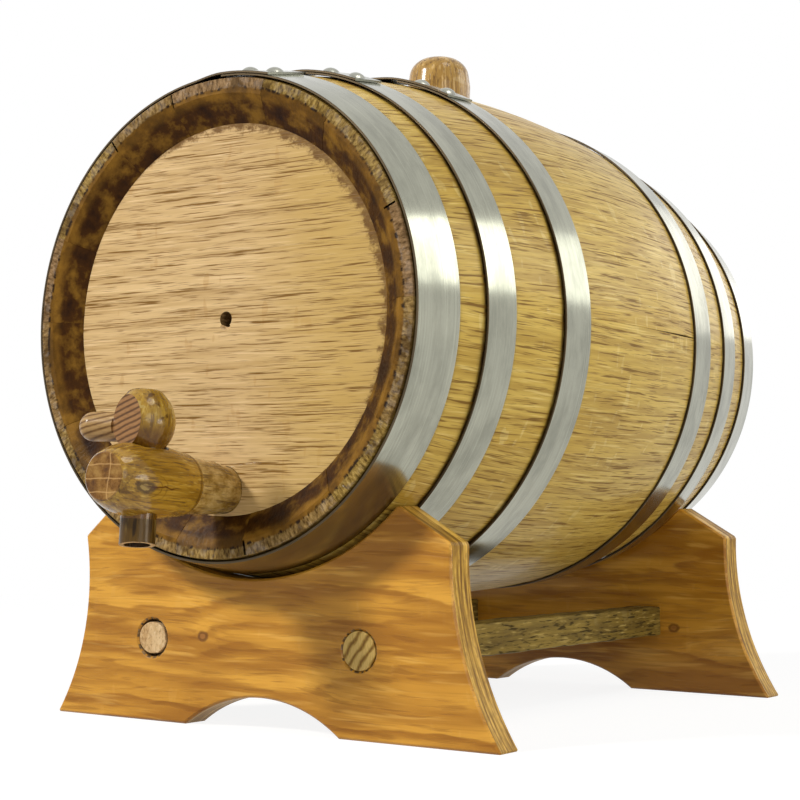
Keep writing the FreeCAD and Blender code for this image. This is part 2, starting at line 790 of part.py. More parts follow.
def board_edges(feature, wanted):
    """Names of a board's edges that pass a test of (edge, its bounding box)."""
    edges = enumerate(feature.Shape.Edges, start=1)
    return ["Edge%d" % number for number, edge in edges if wanted(edge, edge.BoundBox)]


def across_board(height):
    """Test for the edges that run through the board at the corners of its outline at one height."""
    corner_height = value(height)

    def wanted(edge, box):
        straight_through = box.XLength < TOLERANCE and box.ZLength < TOLERANCE
        return straight_through and abs(box.ZMin - corner_height) < TOLERANCE

    return wanted


def on_board_face(edge, box):
    """Test for the edges round the board's two faces."""
    return box.YLength < TOLERANCE and abs(abs(box.YMin) - value("cradle_thick / 2")) < TOLERANCE


def along_board(edge, box):
    """Test for a stretcher's four long edges."""
    return box.XLength < TOLERANCE and box.ZLength < TOLERANCE


def dress(body, kind, name, base, edges, size_name, size):
    """Round or bevel the edges named."""
    feature = body.newObject(kind, name)
    feature.Base = (base, edges)
    feature.setExpression(size_name, sized(size))
    body.Tip = feature
    doc.recompute()
    return feature


SCREW_FACE = "( screw_plug_deep - cradle_thick / 2 )"
SCREW_TIP = "( %s + screw_long )" % SCREW_FACE


def draw_screw(sketch, flipped=False):
    """Half of a countersunk screw about its axis, in a board's own frame: y = 0 is mid-thickness."""
    way = "- " if flipped else ""
    draw_outline(
        sketch,
        [
            ("0", way + SCREW_FACE),
            ("screw_head_dia / 2", way + SCREW_FACE),
            ("screw_dia / 2", "%s( %s + screw_head_high )" % (way, SCREW_FACE)),
            ("screw_dia / 2", "%s( %s - screw_dia )" % (way, SCREW_TIP)),
            ("0", way + SCREW_TIP),
        ],
    )


def screw_sketch(body, name, side):
    """Sketch in the XY plane about the axis of the screw on one side of the stand."""
    spot = V(value(side + " stretcher_spacing / 2"), 0, value("stretcher_height"))
    sketch = new_sketch(body, name, "XY_Plane", FreeCAD.Placement(spot, NO_TURN))
    sketch.setExpression("AttachmentOffset.Base.x", sized(side + " stretcher_spacing / 2"))
    sketch.setExpression("AttachmentOffset.Base.z", sized("stretcher_height"))
    return sketch


def draw_screw_plug(sketch, flipped=False):
    """Half of the wood plug that covers a screw, flush with the board's outer face."""
    way = "- " if flipped else ""
    outer = way + "( - cradle_thick / 2 )"
    draw_outline(
        sketch,
        [
            ("0", outer),
            ("screw_plug_dia / 2", outer),
            ("screw_plug_dia / 2", way + SCREW_FACE),
            ("0", way + SCREW_FACE),
        ],
    )


CRADLE_PLACES = {"front": "( - %s )" % CRADLE_STATION, "rear": CRADLE_STATION}


def place_on_cradle(thing, end):
    place(thing, "0", "%s + %s" % (CASK_MIDDLE_Y, CRADLE_PLACES[end]), "0")


def make_cradle(end):
    body = new_body("cradle_" + end)
    board = new_sketch(body, "Board_" + end, "XZ_Plane")
    draw_outline(
        board,
        [
            ("- foot_left", "0"),
            ("arch_right - arch_span / 2", "0"),
            ("arch_right + arch_span / 2", "0"),
            (FOOT_RIGHT, "0"),
            ("shoulder_right", SHOULDER_HEIGHT),
            ("%s + %s" % (CASK_X, HORN_REACH), HORN_HEIGHT),
            ("%s - %s" % (CASK_X, HORN_REACH), HORN_HEIGHT),
            ("- shoulder_left", SHOULDER_HEIGHT),
        ],
        {
            1: (ARCH_BEND, -1),
            3: ("flare_right_radius", -1),
            5: (SEAT_RADIUS, -1),
            7: ("flare_left_radius", -1),
        },
    )
    pad = extrude(body, board, "cradle_thick")
    horns = board_edges(pad, across_board(HORN_HEIGHT))
    rounded = dress(body, "PartDesign::Fillet", "Horns_" + end, pad, horns, "Radius", "horn_round")
    shoulders = board_edges(rounded, across_board(SHOULDER_HEIGHT))
    rounded = dress(
        body, "PartDesign::Fillet", "Shoulders_" + end, rounded, shoulders, "Radius", "shoulder_round"
    )
    outline = board_edges(rounded, on_board_face)
    dress(body, "PartDesign::Chamfer", "Bevel_" + end, rounded, outline, "Size", "edge_chamfer")
    for name, side in SIDES.items():
        recess = screw_sketch(body, "PlugRecess_%s_%s" % (end, name), side)
        draw_screw_plug(recess, flipped=end == "rear")
        revolve(body, recess, "V_Axis", kind="PartDesign::Groove")
        screw = screw_sketch(body, "ScrewHole_%s_%s" % (end, name), side)
        draw_screw(screw, flipped=end == "rear")
        revolve(body, screw, "V_Axis", kind="PartDesign::Groove")
    place_on_cradle(body, end)


def make_stretcher(name, side):
    body = new_body("stretcher_" + name)
    section = new_sketch(body, "Section_" + name, "XZ_Plane")
    middle = side + " stretcher_spacing / 2"
    left, right = middle + " - stretcher_side / 2", middle + " + stretcher_side / 2"
    low, high = "stretcher_height - stretcher_side / 2", "stretcher_height + stretcher_side / 2"
    draw_outline(section, [(left, low), (right, low), (right, high), (left, high)])
    pad = extrude(body, section, "2 * %s" % CRADLE_INNER)
    long_edges = board_edges(pad, along_board)
    dress(body, "PartDesign::Chamfer", "Arris_" + name, pad, long_edges, "Size", "stretcher_chamfer")
    for end, way in (("front", "- "), ("rear", "")):
        hole = screw_sketch(body, "Pilot_%s_%s" % (name, end), side)
        hole.setExpression("AttachmentOffset.Base.y", sized(way + CRADLE_STATION))
        draw_screw(hole, flipped=end == "rear")
        revolve(body, hole, "V_Axis", kind="PartDesign::Groove")
    place(body, "0", CASK_MIDDLE_Y)


def make_group(label, draw):
    """Four turned pieces, one at each end of each stretcher, as one group."""
    pieces = []
    for end in CRADLE_PLACES:
        for side in SIDES.values():
            body = new_body("Piece")
            sketch = screw_sketch(body, "PieceSection", side)
            draw(sketch, flipped=end == "rear")
            revolve(body, sketch, "V_Axis")
            place_on_cradle(body, end)
            pieces.append(body)
    group = doc.addObject("Part::Compound", label)
    group.Label = label
    group.Links = pieces


def make_stand():
    for end in CRADLE_PLACES:
        make_cradle(end)
    for name, side in SIDES.items():
        make_stretcher(name, side)
    make_group("stand_screws", draw_screw)
    make_group("screw_plugs", draw_screw_plug)


# ---------------------------------------------------------------- build, check, write
make_staves()
for end in ("front", "rear"):
    for board in ("top", "middle", "bottom"):
        make_head_board(end, board)
    make_dowels(end)
make_hoops()
make_bung()
make_tap()
make_key()
make_key_peg()
make_stand()
doc.recompute()

GROUPED = ("Rivet", "Piece")
for item in doc.Objects:
    if "Invalid" in item.State or "Error" in item.State:
        raise RuntimeError("%s is %s" % (item.Label, item.State))

subparts = [
    item
    for item in doc.Objects
    if item.TypeId in ("PartDesign::Body", "Part::Compound") and not item.Label.startswith(GROUPED)
]
for item in subparts:
    if item.Shape.isNull() or not item.Shape.isValid():
        raise RuntimeError("%s has no valid shape" % item.Label)

os.makedirs("parts", exist_ok=True)
for item in subparts:
    item.Shape.exportStep(os.path.join("parts", item.Label + ".step"))
    print("%-22s %10.1f mm3  %d solids" % (item.Label, item.Shape.Volume, len(item.Shape.Solids)))
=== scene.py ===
"""Looks of the small oak cask with its wooden tap, on its stand.

Metres, in the part's own frame: +Z up, the floor at Z = 0, the cask along Y and its tap towards -Y. Each new
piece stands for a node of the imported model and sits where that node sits. The rivets, the screws and the
dowels keep the model's own meshes.
"""
import json
import math

import bmesh
import bpy
import numpy as np
from mathutils import Matrix, Vector, noise


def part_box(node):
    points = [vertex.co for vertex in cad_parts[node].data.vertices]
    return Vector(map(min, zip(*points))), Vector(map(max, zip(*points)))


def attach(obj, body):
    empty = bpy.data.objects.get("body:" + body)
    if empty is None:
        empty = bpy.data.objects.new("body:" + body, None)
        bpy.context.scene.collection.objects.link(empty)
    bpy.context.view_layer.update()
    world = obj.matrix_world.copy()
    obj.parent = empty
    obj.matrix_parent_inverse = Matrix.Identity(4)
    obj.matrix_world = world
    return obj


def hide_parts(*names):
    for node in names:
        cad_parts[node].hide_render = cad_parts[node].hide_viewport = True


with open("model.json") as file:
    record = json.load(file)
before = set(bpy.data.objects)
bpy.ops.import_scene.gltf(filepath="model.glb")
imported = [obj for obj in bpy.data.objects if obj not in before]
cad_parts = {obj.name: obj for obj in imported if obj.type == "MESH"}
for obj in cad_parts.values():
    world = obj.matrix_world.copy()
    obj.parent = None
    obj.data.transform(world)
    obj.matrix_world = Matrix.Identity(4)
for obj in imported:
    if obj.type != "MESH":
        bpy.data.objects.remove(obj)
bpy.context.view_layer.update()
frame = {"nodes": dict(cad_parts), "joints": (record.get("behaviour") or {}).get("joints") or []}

MM = 0.001
JOINTS = {joint["name"]: joint for joint in frame["joints"]}


# ---- camera
def set_camera():
    """The viewer stands low, ahead of the tap and to the right of it."""
    yaw, pitch, roll = math.radians(34.553), math.radians(3.486), math.radians(0.454)
    forward = Vector((-math.sin(yaw) * math.cos(pitch), math.cos(yaw) * math.cos(pitch), math.sin(pitch)))
    level = Vector((math.cos(yaw), math.sin(yaw), 0))
    upright = level.cross(forward)
    right = level * math.cos(roll) + upright * math.sin(roll)
    up = upright * math.cos(roll) - level * math.sin(roll)
    data = bpy.data.cameras.new("camera")
    data.lens = 79.38
    data.sensor_width = 36
    camera = bpy.data.objects.new("camera", data)
    camera.matrix_world = Matrix((right, up, -forward)).transposed().to_4x4()
    camera.matrix_world.translation = (0.4151, -0.5985, 0.0821)
    bpy.context.scene.collection.objects.link(camera)
    bpy.context.scene.camera = camera


set_camera()


# ---- what the model measures
def mesh_points(mesh):
    """All corners of a mesh, one row each."""
    points = np.empty(len(mesh.vertices) * 3)
    mesh.vertices.foreach_get("co", points)
    return points.reshape(-1, 3)


def node_points(node):
    return mesh_points(frame["nodes"][node].data)


FRONT_END, REAR_END = (corner.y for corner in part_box("stave_01"))
MIDDLE_Y = (FRONT_END + REAR_END) / 2
AXIS_X = sum(corner.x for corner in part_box("front_head_middle")) / 2
AXIS_Z = sum(corner.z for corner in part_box("front_head_middle")) / 2
HEAD_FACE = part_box("front_head_top")[0].y
HEAD_SETBACK = HEAD_FACE - FRONT_END


def around_cask(points):
    """Angle from the top towards +X, and distance from the cask's axis."""
    across, up = points[:, 0] - AXIS_X, points[:, 2] - AXIS_Z
    return np.arctan2(across, up), np.hypot(across, up)


def on_cask(angle, y, radius):
    """Place at an angle from the top towards +X and at a distance from the cask's axis."""
    return AXIS_X + radius * math.sin(angle), y, AXIS_Z + radius * math.cos(angle)


def wrapped(turn):
    """Angle brought between -pi and pi."""
    return (turn + math.pi) % (2 * math.pi) - math.pi


STAVE_POINTS = node_points("stave_02")
STAVE_SPREAD = around_cask(STAVE_POINTS)[1]
SAME_PLACE = 0.01 * MM
AT_FRONT = np.abs(STAVE_POINTS[:, 1] - FRONT_END) < SAME_PLACE
BILGE = STAVE_SPREAD.max()
CHIME = STAVE_SPREAD[AT_FRONT].max()
CHIME_INNER = STAVE_SPREAD[AT_FRONT].min()
HEAD_SIGHT = STAVE_SPREAD[np.abs(STAVE_POINTS[:, 1] - HEAD_FACE) < SAME_PLACE].min()
CROZE = around_cask(node_points("front_head_top"))[1].max()
RISE = BILGE - CHIME
HALF = (REAR_END - FRONT_END) / 2
BEND = (HALF ** 2 + RISE ** 2) / (2 * RISE)


def cask_radius(y):
    """Outer radius of the cask at a place along Y."""
    return BILGE - BEND + np.sqrt(BEND ** 2 - (y - MIDDLE_Y) ** 2)


HOOPS = ["chime_front", "quarter_front", "bilge_front", "bilge_rear", "quarter_rear", "chime_rear"]
HOOP_EDGES = [tuple(corner.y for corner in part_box("hoop_" + hoop)) for hoop in HOOPS]


# ---- making meshes
def new_piece(name, corners, faces, materials):
    mesh = bpy.data.meshes.new(name)
    mesh.from_pydata([tuple(corner) for corner in corners], [], faces)
    mesh.validate()
    for material in materials:
        mesh.materials.append(material)
    piece = bpy.data.objects.new(name, mesh)
    bpy.context.scene.collection.objects.link(piece)
    tidy = bmesh.new()
    tidy.from_mesh(mesh)
    bmesh.ops.recalc_face_normals(tidy, faces=tidy.faces)
    tidy.to_mesh(mesh)
    tidy.free()
    return piece


def lofted(name, rings, materials):
    """Skin over closed rings of corners, capped at both ends."""
    count = len(rings[0])
    corners = [corner for ring in rings for corner in ring]
    faces = [tuple(range(count)), tuple(range(len(corners) - count, len(corners)))]
    for first in range(0, len(corners) - count, count):
        for spot in range(count):
            following = (spot + 1) % count
            faces.append((first + spot, first + following, first + count + following, first + count + spot))
    return new_piece(name, corners, faces, materials)


def settle(piece):
    """Turn a piece's modifiers into plain mesh."""
    graph = bpy.context.evaluated_depsgraph_get()
    mesh = bpy.data.meshes.new_from_object(piece.evaluated_get(graph))
    old = piece.data
    piece.modifiers.clear()
    piece.data = mesh
    mesh.name = piece.name
    bpy.data.meshes.remove(old)


def ease_edges(piece, width, angle=35):
    """Break the sharp edges of a piece, as sanding does."""
    bevel = piece.modifiers.new("eased", "BEVEL")
    bevel.width = width
    bevel.segments = 1
    bevel.limit_method = "ANGLE"
    bevel.angle_limit = math.radians(angle)
    bevel.use_clamp_overlap = True
    settle(piece)


def cut_away(piece, *cutters):
    """Take the cutters' shapes out of a piece, whose cut faces keep the cutters' finish. Drop the cutters."""
    for cutter in cutters:
        cut = piece.modifiers.new("cut", "BOOLEAN")
        cut.operation = "DIFFERENCE"
        cut.solver = "EXACT"
        cut.material_mode = "TRANSFER"
        cut.object = cutter
    settle(piece)
    for cutter in cutters:
        bpy.data.objects.remove(cutter)


def fillet(corners, radii, steps=6):
    """Round the corners of an open outline, one radius for each corner and 0 for a sharp one."""
    out = []
    for index, (corner, radius) in enumerate(zip(corners, radii)):
        here = Vector(corner)
        if not radius:
            out.append(tuple(here))
            continue
        before = Vector(corners[index - 1]) - here
        after = Vector(corners[(index + 1) % len(corners)]) - here
        half = before.angle(after) / 2
        reach = min(radius / math.tan(half), 0.49 * before.length, 0.49 * after.length)
        before.normalize()
        after.normalize()
        round_radius = reach * math.tan(half)
        middle = here + (before + after).normalized() * round_radius / math.sin(half)
        start = here + before * reach - middle
        end = here + after * reach - middle
        for step in range(steps + 1):
            spoke = start.lerp(end, step / steps)
            out.append(tuple(middle + spoke.normalized() * round_radius))
    return out


def arc(start, end, radius, side, steps=24):
    """Points of an arc from start towards end, without end. Side +1 turns left and -1 turns right."""
    start, end = Vector(start), Vector(end)
    chord = end - start
    across = Vector((-chord.y, chord.x)).normalized()
    depth = math.sqrt(radius ** 2 - (chord.length / 2) ** 2)
    middle = (start + end) / 2 + across * depth * side
    first, last = start - middle, end - middle
    sweep = first.angle(last)
    begin = math.atan2(first.y, first.x)
    turns = [begin + side * sweep * step / steps for step in range(steps)]
    return [(middle.x + radius * math.cos(turn), middle.y + radius * math.sin(turn)) for turn in turns]


def turned(name, outline, materials, seat, steps=96):
    """Turn an outline of (radius, height) in millimetres about Z as on a lathe, then set it in its seat."""
    corners, faces, rings = [], [], []
    for radius, height in outline:
        if radius < 1e-3:
            rings.append([len(corners)] * steps)
            corners.append((0, 0, height * MM))
            continue
        rings.append(list(range(len(corners), len(corners) + steps)))
        for step in range(steps):
            angle = 2 * math.pi * step / steps
            corners.append((radius * MM * math.cos(angle), radius * MM * math.sin(angle), height * MM))
    for low, high in zip(rings, rings[1:] + rings[:1]):
        for step in range(steps):
            following = (step + 1) % steps
            face = [low[step], low[following], high[following], high[step]]
            face = [corner for spot, corner in enumerate(face) if corner != face[spot - 1]]
            if len(face) > 2:
                faces.append(face)
    piece = new_piece(name, corners, faces, materials)
    piece.data.transform(seat)
    return piece


def drill(name, low, high, material, seat, steps=48):
    """Turned cutter, straight or tapered, between two places given as (radius, height) in millimetres."""
    return turned(name, [(0, low[1]), low, high, (0, high[1])], [material], seat, steps)


def block(name, sides, depths, heights, material, place):
    """Box between two millimetre values along each axis, set in place."""
    loop = [(sides[0], depths[0]), (sides[1], depths[0]), (sides[1], depths[1]), (sides[0], depths[1])]
    corners = [place @ (Vector((x, y, z)) * MM) for z in heights for x, y in loop]
    faces = [(0, 1, 2, 3), (4, 5, 6, 7), (0, 1, 5, 4), (1, 2, 6, 5), (2, 3, 7, 6), (3, 0, 4, 7)]
    return new_piece(name, corners, faces, [material])


def seat_on(origin, axis, facing=Vector((0, -1, 0))):
    """Matrix whose Z runs along an axis and whose X faces forward as nearly as it can."""
    z = Vector(axis).normalized()
    x = (facing - z * facing.dot(z)).normalized()
    return Matrix.Translation(origin) @ Matrix((x, z.cross(x), z)).transposed().to_4x4()


def sanded(piece, amount, size, seed=0):
    """Move the surface by a slow noise, as hand work leaves it."""
    mesh = piece.data
    shift = Vector((seed * 3.1, seed * 1.7, seed * 5.3))
    normals = [vertex.normal.copy() for vertex in mesh.vertices]
    for vertex, normal in zip(mesh.vertices, normals):
        vertex.co += normal * amount * noise.noise(vertex.co / size + shift)


def add_attribute(mesh, name, values):
    """Store a number or a vector at each corner, for the materials to read."""
    kind, key = ("FLOAT", "value") if values.ndim == 1 else ("FLOAT_VECTOR", "vector")
    layer = mesh.attributes.new(name, kind, "POINT")
    layer.data.foreach_set(key, values.astype(np.float32).ravel())


def finish_piece(piece, body, grain, node, number, crease=35, soil_and_shade=None):
    """Shade a piece, give it its grain, its stain and painted shade, let it ride its body, hide the node it
    stands for.
    """
    piece.data.shade_smooth()
    piece.data.set_sharp_from_angle(angle=math.radians(crease))
    piece.modifiers.new("even", "WEIGHTED_NORMAL").keep_sharp = True
    settle(piece)
    points = mesh_points(piece.data)
    add_attribute(piece.data, "grain", np.column_stack(grain(points)))
    add_attribute(piece.data, "piece", np.full(len(points), number))
    if soil_and_shade:
        add_attribute(piece.data, "soil_and_shade", soil_and_shade(points))
    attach(piece, body)
    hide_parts(node)


def paint(piece, rule):
    """Give each face the material whose number the rule gives for the face's middle and normal."""
    for face in piece.data.polygons:
        face.material_index = rule(face.center, face.normal, face.material_index)


# ---- shader nodes
class Bench:
    """Adds nodes to one tree. Each call but node gives back the output of the node that it made."""

    def __init__(self, tree):
        self.tree = tree

    def feed(self, socket, given):
        if isinstance(given, bpy.types.NodeSocket):
            self.tree.links.new(given, socket)
        else:
            socket.default_value = given

    def node(self, kind, inputs=(), **settings):
        """A whole node. Its inputs are given by name, or in their order."""
        made = self.tree.nodes.new("ShaderNode" + kind)
        for name, setting in settings.items():
            setattr(made, name, setting)
        for key, given in inputs.items() if isinstance(inputs, dict) else enumerate(inputs):
            self.feed(made.inputs[key], given)
        return made

    def do(self, operation, *values, clamp=False):
        return self.node("Math", values, operation=operation, use_clamp=clamp).outputs[0]

    def times(self, first, second):
        return self.do("MULTIPLY", first, second)

    def times_add(self, first, second, third):
        """The first times the second, plus the third."""
        return self.do("MULTIPLY_ADD", first, second, third)

    def centred(self, value):
        """Brings a noise from about 0.5 to about 0."""
        return self.do("SUBTRACT", value, 0.5)

    def vector(self, operation, first, second):
        return self.node("VectorMath", (first, second), operation=operation).outputs[0]

    def length(self, vector):
        return self.node("VectorMath", (vector,), operation="LENGTH").outputs["Value"]

    def combine(self, **parts):
        return self.node("CombineXYZ", parts).outputs[0]

    def parts(self, vector):
        return self.node("SeparateXYZ", (vector,)).outputs

    def luck(self, seed):
        """A random number from 0 to 1 for each seed."""
        return self.node("TexWhiteNoise", {"W": seed}, noise_dimensions="1D").outputs[0]

    def noise(self, vector, scale=1.0, detail=2.0, rough=0.5, w=None):
        """Noise of one scale, or of one scale along each axis."""
        if isinstance(scale, (tuple, bpy.types.NodeSocket)):
            vector, scale = self.vector("MULTIPLY", vector, scale), 1.0
        feeds = {"Vector": vector, "Scale": scale, "Detail": detail, "Roughness": rough}
        size = "3D"
        if w is not None:
            feeds["W"] = w
            size = "4D"
        return self.node("TexNoise", feeds, noise_dimensions=size).outputs["Fac"]

    def between(self, value, low, high, out_low=0.0, out_high=1.0):
        """Smooth step from low to high."""
        limits = (value, low, high, out_low, out_high)
        return self.node("MapRange", limits, interpolation_type="SMOOTHSTEP").outputs[0]

    def hump(self, value, start, full, fade, end):
        """1 from full to fade, and 0 before start and after end."""
        return self.times(self.between(value, start, full), self.between(value, end, fade))

    def mix(self, share, first, second):
        made = self.node("Mix", {"Factor": share}, data_type="RGBA", clamp_factor=True)
        for name, given in (("A", first), ("B", second)):
            socket = next(s for s in made.inputs if s.name == name and s.type == "RGBA")
            self.feed(socket, (*given, 1) if isinstance(given, tuple) else given)
        return next(s for s in made.outputs if s.type == "RGBA")

    def tint(self, colour, mask, share, dye):
        """Mix a share of a dye into a colour where the mask is 1."""
        return self.mix(self.times(mask, share), colour, dye)

    def ramp(self, value, *stops):
        """Colours at places from 0 to 1."""
        made = self.node("ValToRGB", (value,))
        while len(made.color_ramp.elements) < len(stops):
            made.color_ramp.elements.new(0.5)
        for element, (place, colour) in zip(made.color_ramp.elements, stops):
            element.position = place
            element.color = (*colour, 1)
        return made.outputs[0]

    def bump(self, height, strength, distance):
        feeds = {"Height": height, "Strength": strength, "Distance": distance}
        return self.node("Bump", feeds).outputs[0]

    def attribute(self, name, output="Vector"):
        return self.node("Attribute", attribute_name=name).outputs[output]

    def group(self, group, **inputs):
        feeds = {name.replace("_", " "): given for name, given in inputs.items()}
        return self.node("Group", feeds, node_tree=group).outputs

    def blend(self, share, first, second):
        """Mix two shaders."""
        return self.node("MixShader", (share, first, second)).outputs[0]


def new_group(name, inputs, outputs):
    """A node group's bench, the sockets that come in and the numbers that go out."""
    tree = bpy.data.node_groups.new(name, "ShaderNodeTree")
    for label, kind in inputs.items():
        tree.interface.new_socket(label, in_out="INPUT", socket_type="NodeSocket" + kind)
    for label in outputs:
        tree.interface.new_socket(label, in_out="OUTPUT", socket_type="NodeSocketFloat")
    given, out = tree.nodes.new("NodeGroupInput"), tree.nodes.new("NodeGroupOutput")
    return Bench(tree), given.outputs, out.inputs


def new_material(name):
    """A material, the bench for its nodes and the grain lines that it reads."""
    material = bpy.data.materials.new(name)
    material.use_nodes = True
    bench = Bench(material.node_tree)
    return material, bench, bench.attribute("grain")


def varnish(
    bench, colour, rough, height=None, relief=0.3, depth=0.25, coat=0.0, coat_rough=0.1, specular=0.15,
    metallic=0.0, brushed=0.0,
):
    """Feed a material's shader. The depth of the relief is in millimetres."""
    sockets = bench.tree.nodes["Principled BSDF"].inputs
    feeds = {
        "Base Color": colour, "Roughness": rough, "Coat Weight": coat, "Coat Roughness": coat_rough,
        "Specular IOR Level": specular, "Metallic": metallic, "Anisotropic": brushed,
    }
    if height is not None:
        feeds["Normal"] = bench.bump(height, relief, depth * MM)
    for name, given in feeds.items():
        bench.feed(sockets[name], given)


def oak_group():
    """Oak from its grain lines: year rings about a pith, pores drawn out along the fibres, bands and rays."""
    numbers = ("Piece", "Pith Across", "Pith Depth", "Ring", "Flame", "Pore Long", "Pore Wide")
    names = ("Early", "Pores", "Light", "Band", "Fibre", "Cloud", "Ray", "Height")
    bench, given, out = new_group("oak", {"Grain": "Vector", **{name: "Float" for name in numbers}}, names)
    piece = bench.times(given["Piece"], 7.31)
    sway = bench.noise(given["Grain"], (10, 24, 24), rough=0.45, w=piece)
    drift = bench.times(bench.centred(sway), given["Flame"])
    half_drift = bench.times(drift, 0.5)
    grain = bench.vector("ADD", given["Grain"], bench.combine(Y=half_drift, Z=half_drift))
    parts = bench.parts(given["Grain"])
    across = bench.do("SUBTRACT", parts["Y"], given["Pith Across"])
    depth = bench.do("SUBTRACT", parts["Z"], given["Pith Depth"])
    reach = bench.length(bench.combine(Y=across, Z=depth))
    year = bench.do("DIVIDE", bench.do("ADD", reach, drift), given["Ring"])
    shiver = bench.noise(grain, (45, 300, 300), w=piece)
    year = bench.times_add(bench.centred(shiver), 0.9, year)
    early = bench.hump(bench.do("FRACT", year), 0.0, 0.16, 0.2, 0.75)
    early = bench.times(early, bench.between(bench.luck(bench.do("FLOOR", year)), 0.0, 1.0, 0.25, 1.0))
    length = bench.do("DIVIDE", 1.0, given["Pore Long"])
    width = bench.do("DIVIDE", 1.0, given["Pore Wide"])
    pore_scale = bench.combine(X=length, Y=width, Z=width)
    coarse = bench.noise(grain, pore_scale, w=piece)
    fine = bench.noise(grain, bench.vector("MULTIPLY", pore_scale, (1.7, 1.8, 1.8)), w=piece)
    limit = bench.times_add(early, -0.07, 0.583)
    large_pores = bench.between(bench.do("SUBTRACT", coarse, limit), 0.0, 0.09)
    small_pores = bench.between(bench.do("SUBTRACT", fine, limit), 0.0, 0.10, 0.0, 0.7)
    pores = bench.do("MAXIMUM", large_pores, small_pores)
    light = bench.between(coarse, 0.44, 0.30)
    wide_scale = bench.vector("MULTIPLY", pore_scale, (0.4, 0.3, 0.3))
    band = bench.between(bench.noise(grain, wide_scale, w=piece), 0.42, 0.64)
    fibre = bench.noise(grain, (22, 1300, 1300), detail=3, rough=0.6, w=piece)
    cloud = bench.noise(grain, (10, 30, 30), detail=3, w=piece)
    ray = bench.between(bench.noise(grain, (210, 80, 80), detail=1, w=piece), 0.64, 0.68)
    height = bench.times_add(pores, -1.0, bench.times(fibre, 0.25))
    height = bench.times_add(early, -0.2, height)
    for name, socket in zip(names, (early, pores, light, band, fibre, cloud, ray, height)):
        bench.feed(out[name], socket)
    return bench.tree


def knot_group():
    """A small knot at a place in the grain: its dark ring, its core and the rings that flow round it."""
    inputs = {"Grain": "Vector", "Place": "Vector", "Stretch": "Vector", "Size": "Float"}
    bench, given, out = new_group("knot", inputs, ("Ring", "Core", "Halo"))
    away = bench.vector("SUBTRACT", given["Grain"], given["Place"])
    far = bench.length(bench.vector("MULTIPLY", away, given["Stretch"]))
    share = bench.do("DIVIDE", far, given["Size"])
    share = bench.times_add(bench.centred(bench.noise(given["Grain"], 420)), 0.7, share)
    inside = bench.between(share, 0.45, 0.7)
    bench.feed(out["Ring"], bench.times(inside, bench.between(share, 1.4, 0.9)))
    bench.feed(out["Core"], bench.do("SUBTRACT", 1.0, inside))
    flow = bench.between(bench.do("PINGPONG", bench.times(share, 1.3), 0.5), 0.3, 0.48)
    bench.feed(out["Halo"], bench.times(flow, bench.hump(share, 1.0, 1.5, 2.0, 4.2)))
    return bench.tree


OAK = oak_group()
KNOT = knot_group()


def oak_surface(
    name, pale, deep, streak, light, pore, ray, ring=2.6, flame=7.0, pith=(0.0, -50.0), pores=(10.0, 1.1),
    pore_share=0.85, early_share=0.35, band_share=0.5, light_share=0.6, ray_share=0.5, gloss=0.34, coat=0.1,
    relief=0.3, extra=None,
):
    """Varnished oak. Lengths are millimetres; pale and deep are the clouds' colours."""
    material, bench, grain = new_material(name)
    piece = bench.attribute("piece", "Fac")
    oak = bench.group(
        OAK, Grain=grain, Piece=piece, Pith_Across=pith[0] * MM, Pith_Depth=pith[1] * MM, Ring=ring * MM,
        Flame=flame * MM, Pore_Long=pores[0] * MM, Pore_Wide=pores[1] * MM,
    )
    colour = bench.mix(bench.between(oak["Cloud"], 0.34, 0.66), pale, deep)
    colour = bench.tint(colour, bench.luck(piece), 0.3, deep)
    for mask, share, dye in (
        ("Ray", ray_share, ray), ("Band", band_share, streak), ("Early", early_share, streak),
        ("Light", light_share, light),
    ):
        colour = bench.tint(colour, oak[mask], share, dye)
    colour = bench.tint(colour, bench.between(oak["Fibre"], 0.52, 0.3), 0.35, streak)
    if extra:
        colour = extra(bench, grain, oak, colour)
    colour = bench.tint(colour, oak["Pores"], pore_share, pore)
    varnish(bench, colour, bench.times_add(oak["Pores"], 0.2, gloss), oak["Height"], relief, coat=coat)
    return material


def hoop_dirt_and_shade(bench, grain, oak, colour):
    """Dark lines on the staves beside the hoops: oily stain, and painted shade where the hoops meet the wood.
    """
    soil_and_shade = bench.attribute("soil_and_shade", "Fac")
    patchy = bench.noise(grain, (500, 90, 90), detail=3)
    share = bench.times(soil_and_shade, bench.between(patchy, 0.25, 0.6, 0.45, 1.0))
    # Stain and painted shade: dark brown along the hoops' edges.
    return bench.mix(share, colour, (0.055, 0.03, 0.008))


def head_stain(bench, grain, oak, colour):
    """The head turns honey yellow to the right and darkens in blots near its rim, most at the upper right."""
    parts = bench.parts(grain)
    honey = bench.between(bench.times_add(oak["Cloud"], 0.03, parts["X"]), 0.01, 0.075)
    colour = bench.tint(colour, honey, 0.65, (0.52, 0.345, 0.085))
    spread = bench.length(bench.combine(X=parts["X"], Y=parts["Y"]))
    blots = bench.noise(grain, (190, 260, 260), detail=4, rough=0.7)
    side = bench.do("ADD", parts["X"], parts["Y"])
    edge = bench.times_add(side, 0.055, bench.times_add(blots, 0.012, spread))
    stain = bench.between(edge, 0.0785, 0.0815)
    return bench.tint(colour, stain, bench.between(blots, 0.3, 0.6, 0.55, 0.95), (0.13, 0.058, 0.007))


def knot_at(bench, grain, place, stretch, size):
    """The masks of a small knot, its place and its size in millimetres."""
    place = tuple(value * MM for value in place)
    return bench.group(KNOT, Grain=grain, Place=place, Stretch=stretch, Size=size * MM)


def board_marks(bench, grain, oak, colour):
    """Small knots of the stand boards."""
    for place, size in (((-23.3, -6.7, 0), 1.7), ((62, -11.4, 12.7), 1.9)):
        knot = knot_at(bench, grain, place, (0.8, 1, 0.35), size)
        colour = bench.tint(colour, knot["Ring"], 0.75, (0.10, 0.03, 0.006))
        colour = bench.tint(colour, knot["Core"], 0.8, (0.30, 0.12, 0.03))
    return colour


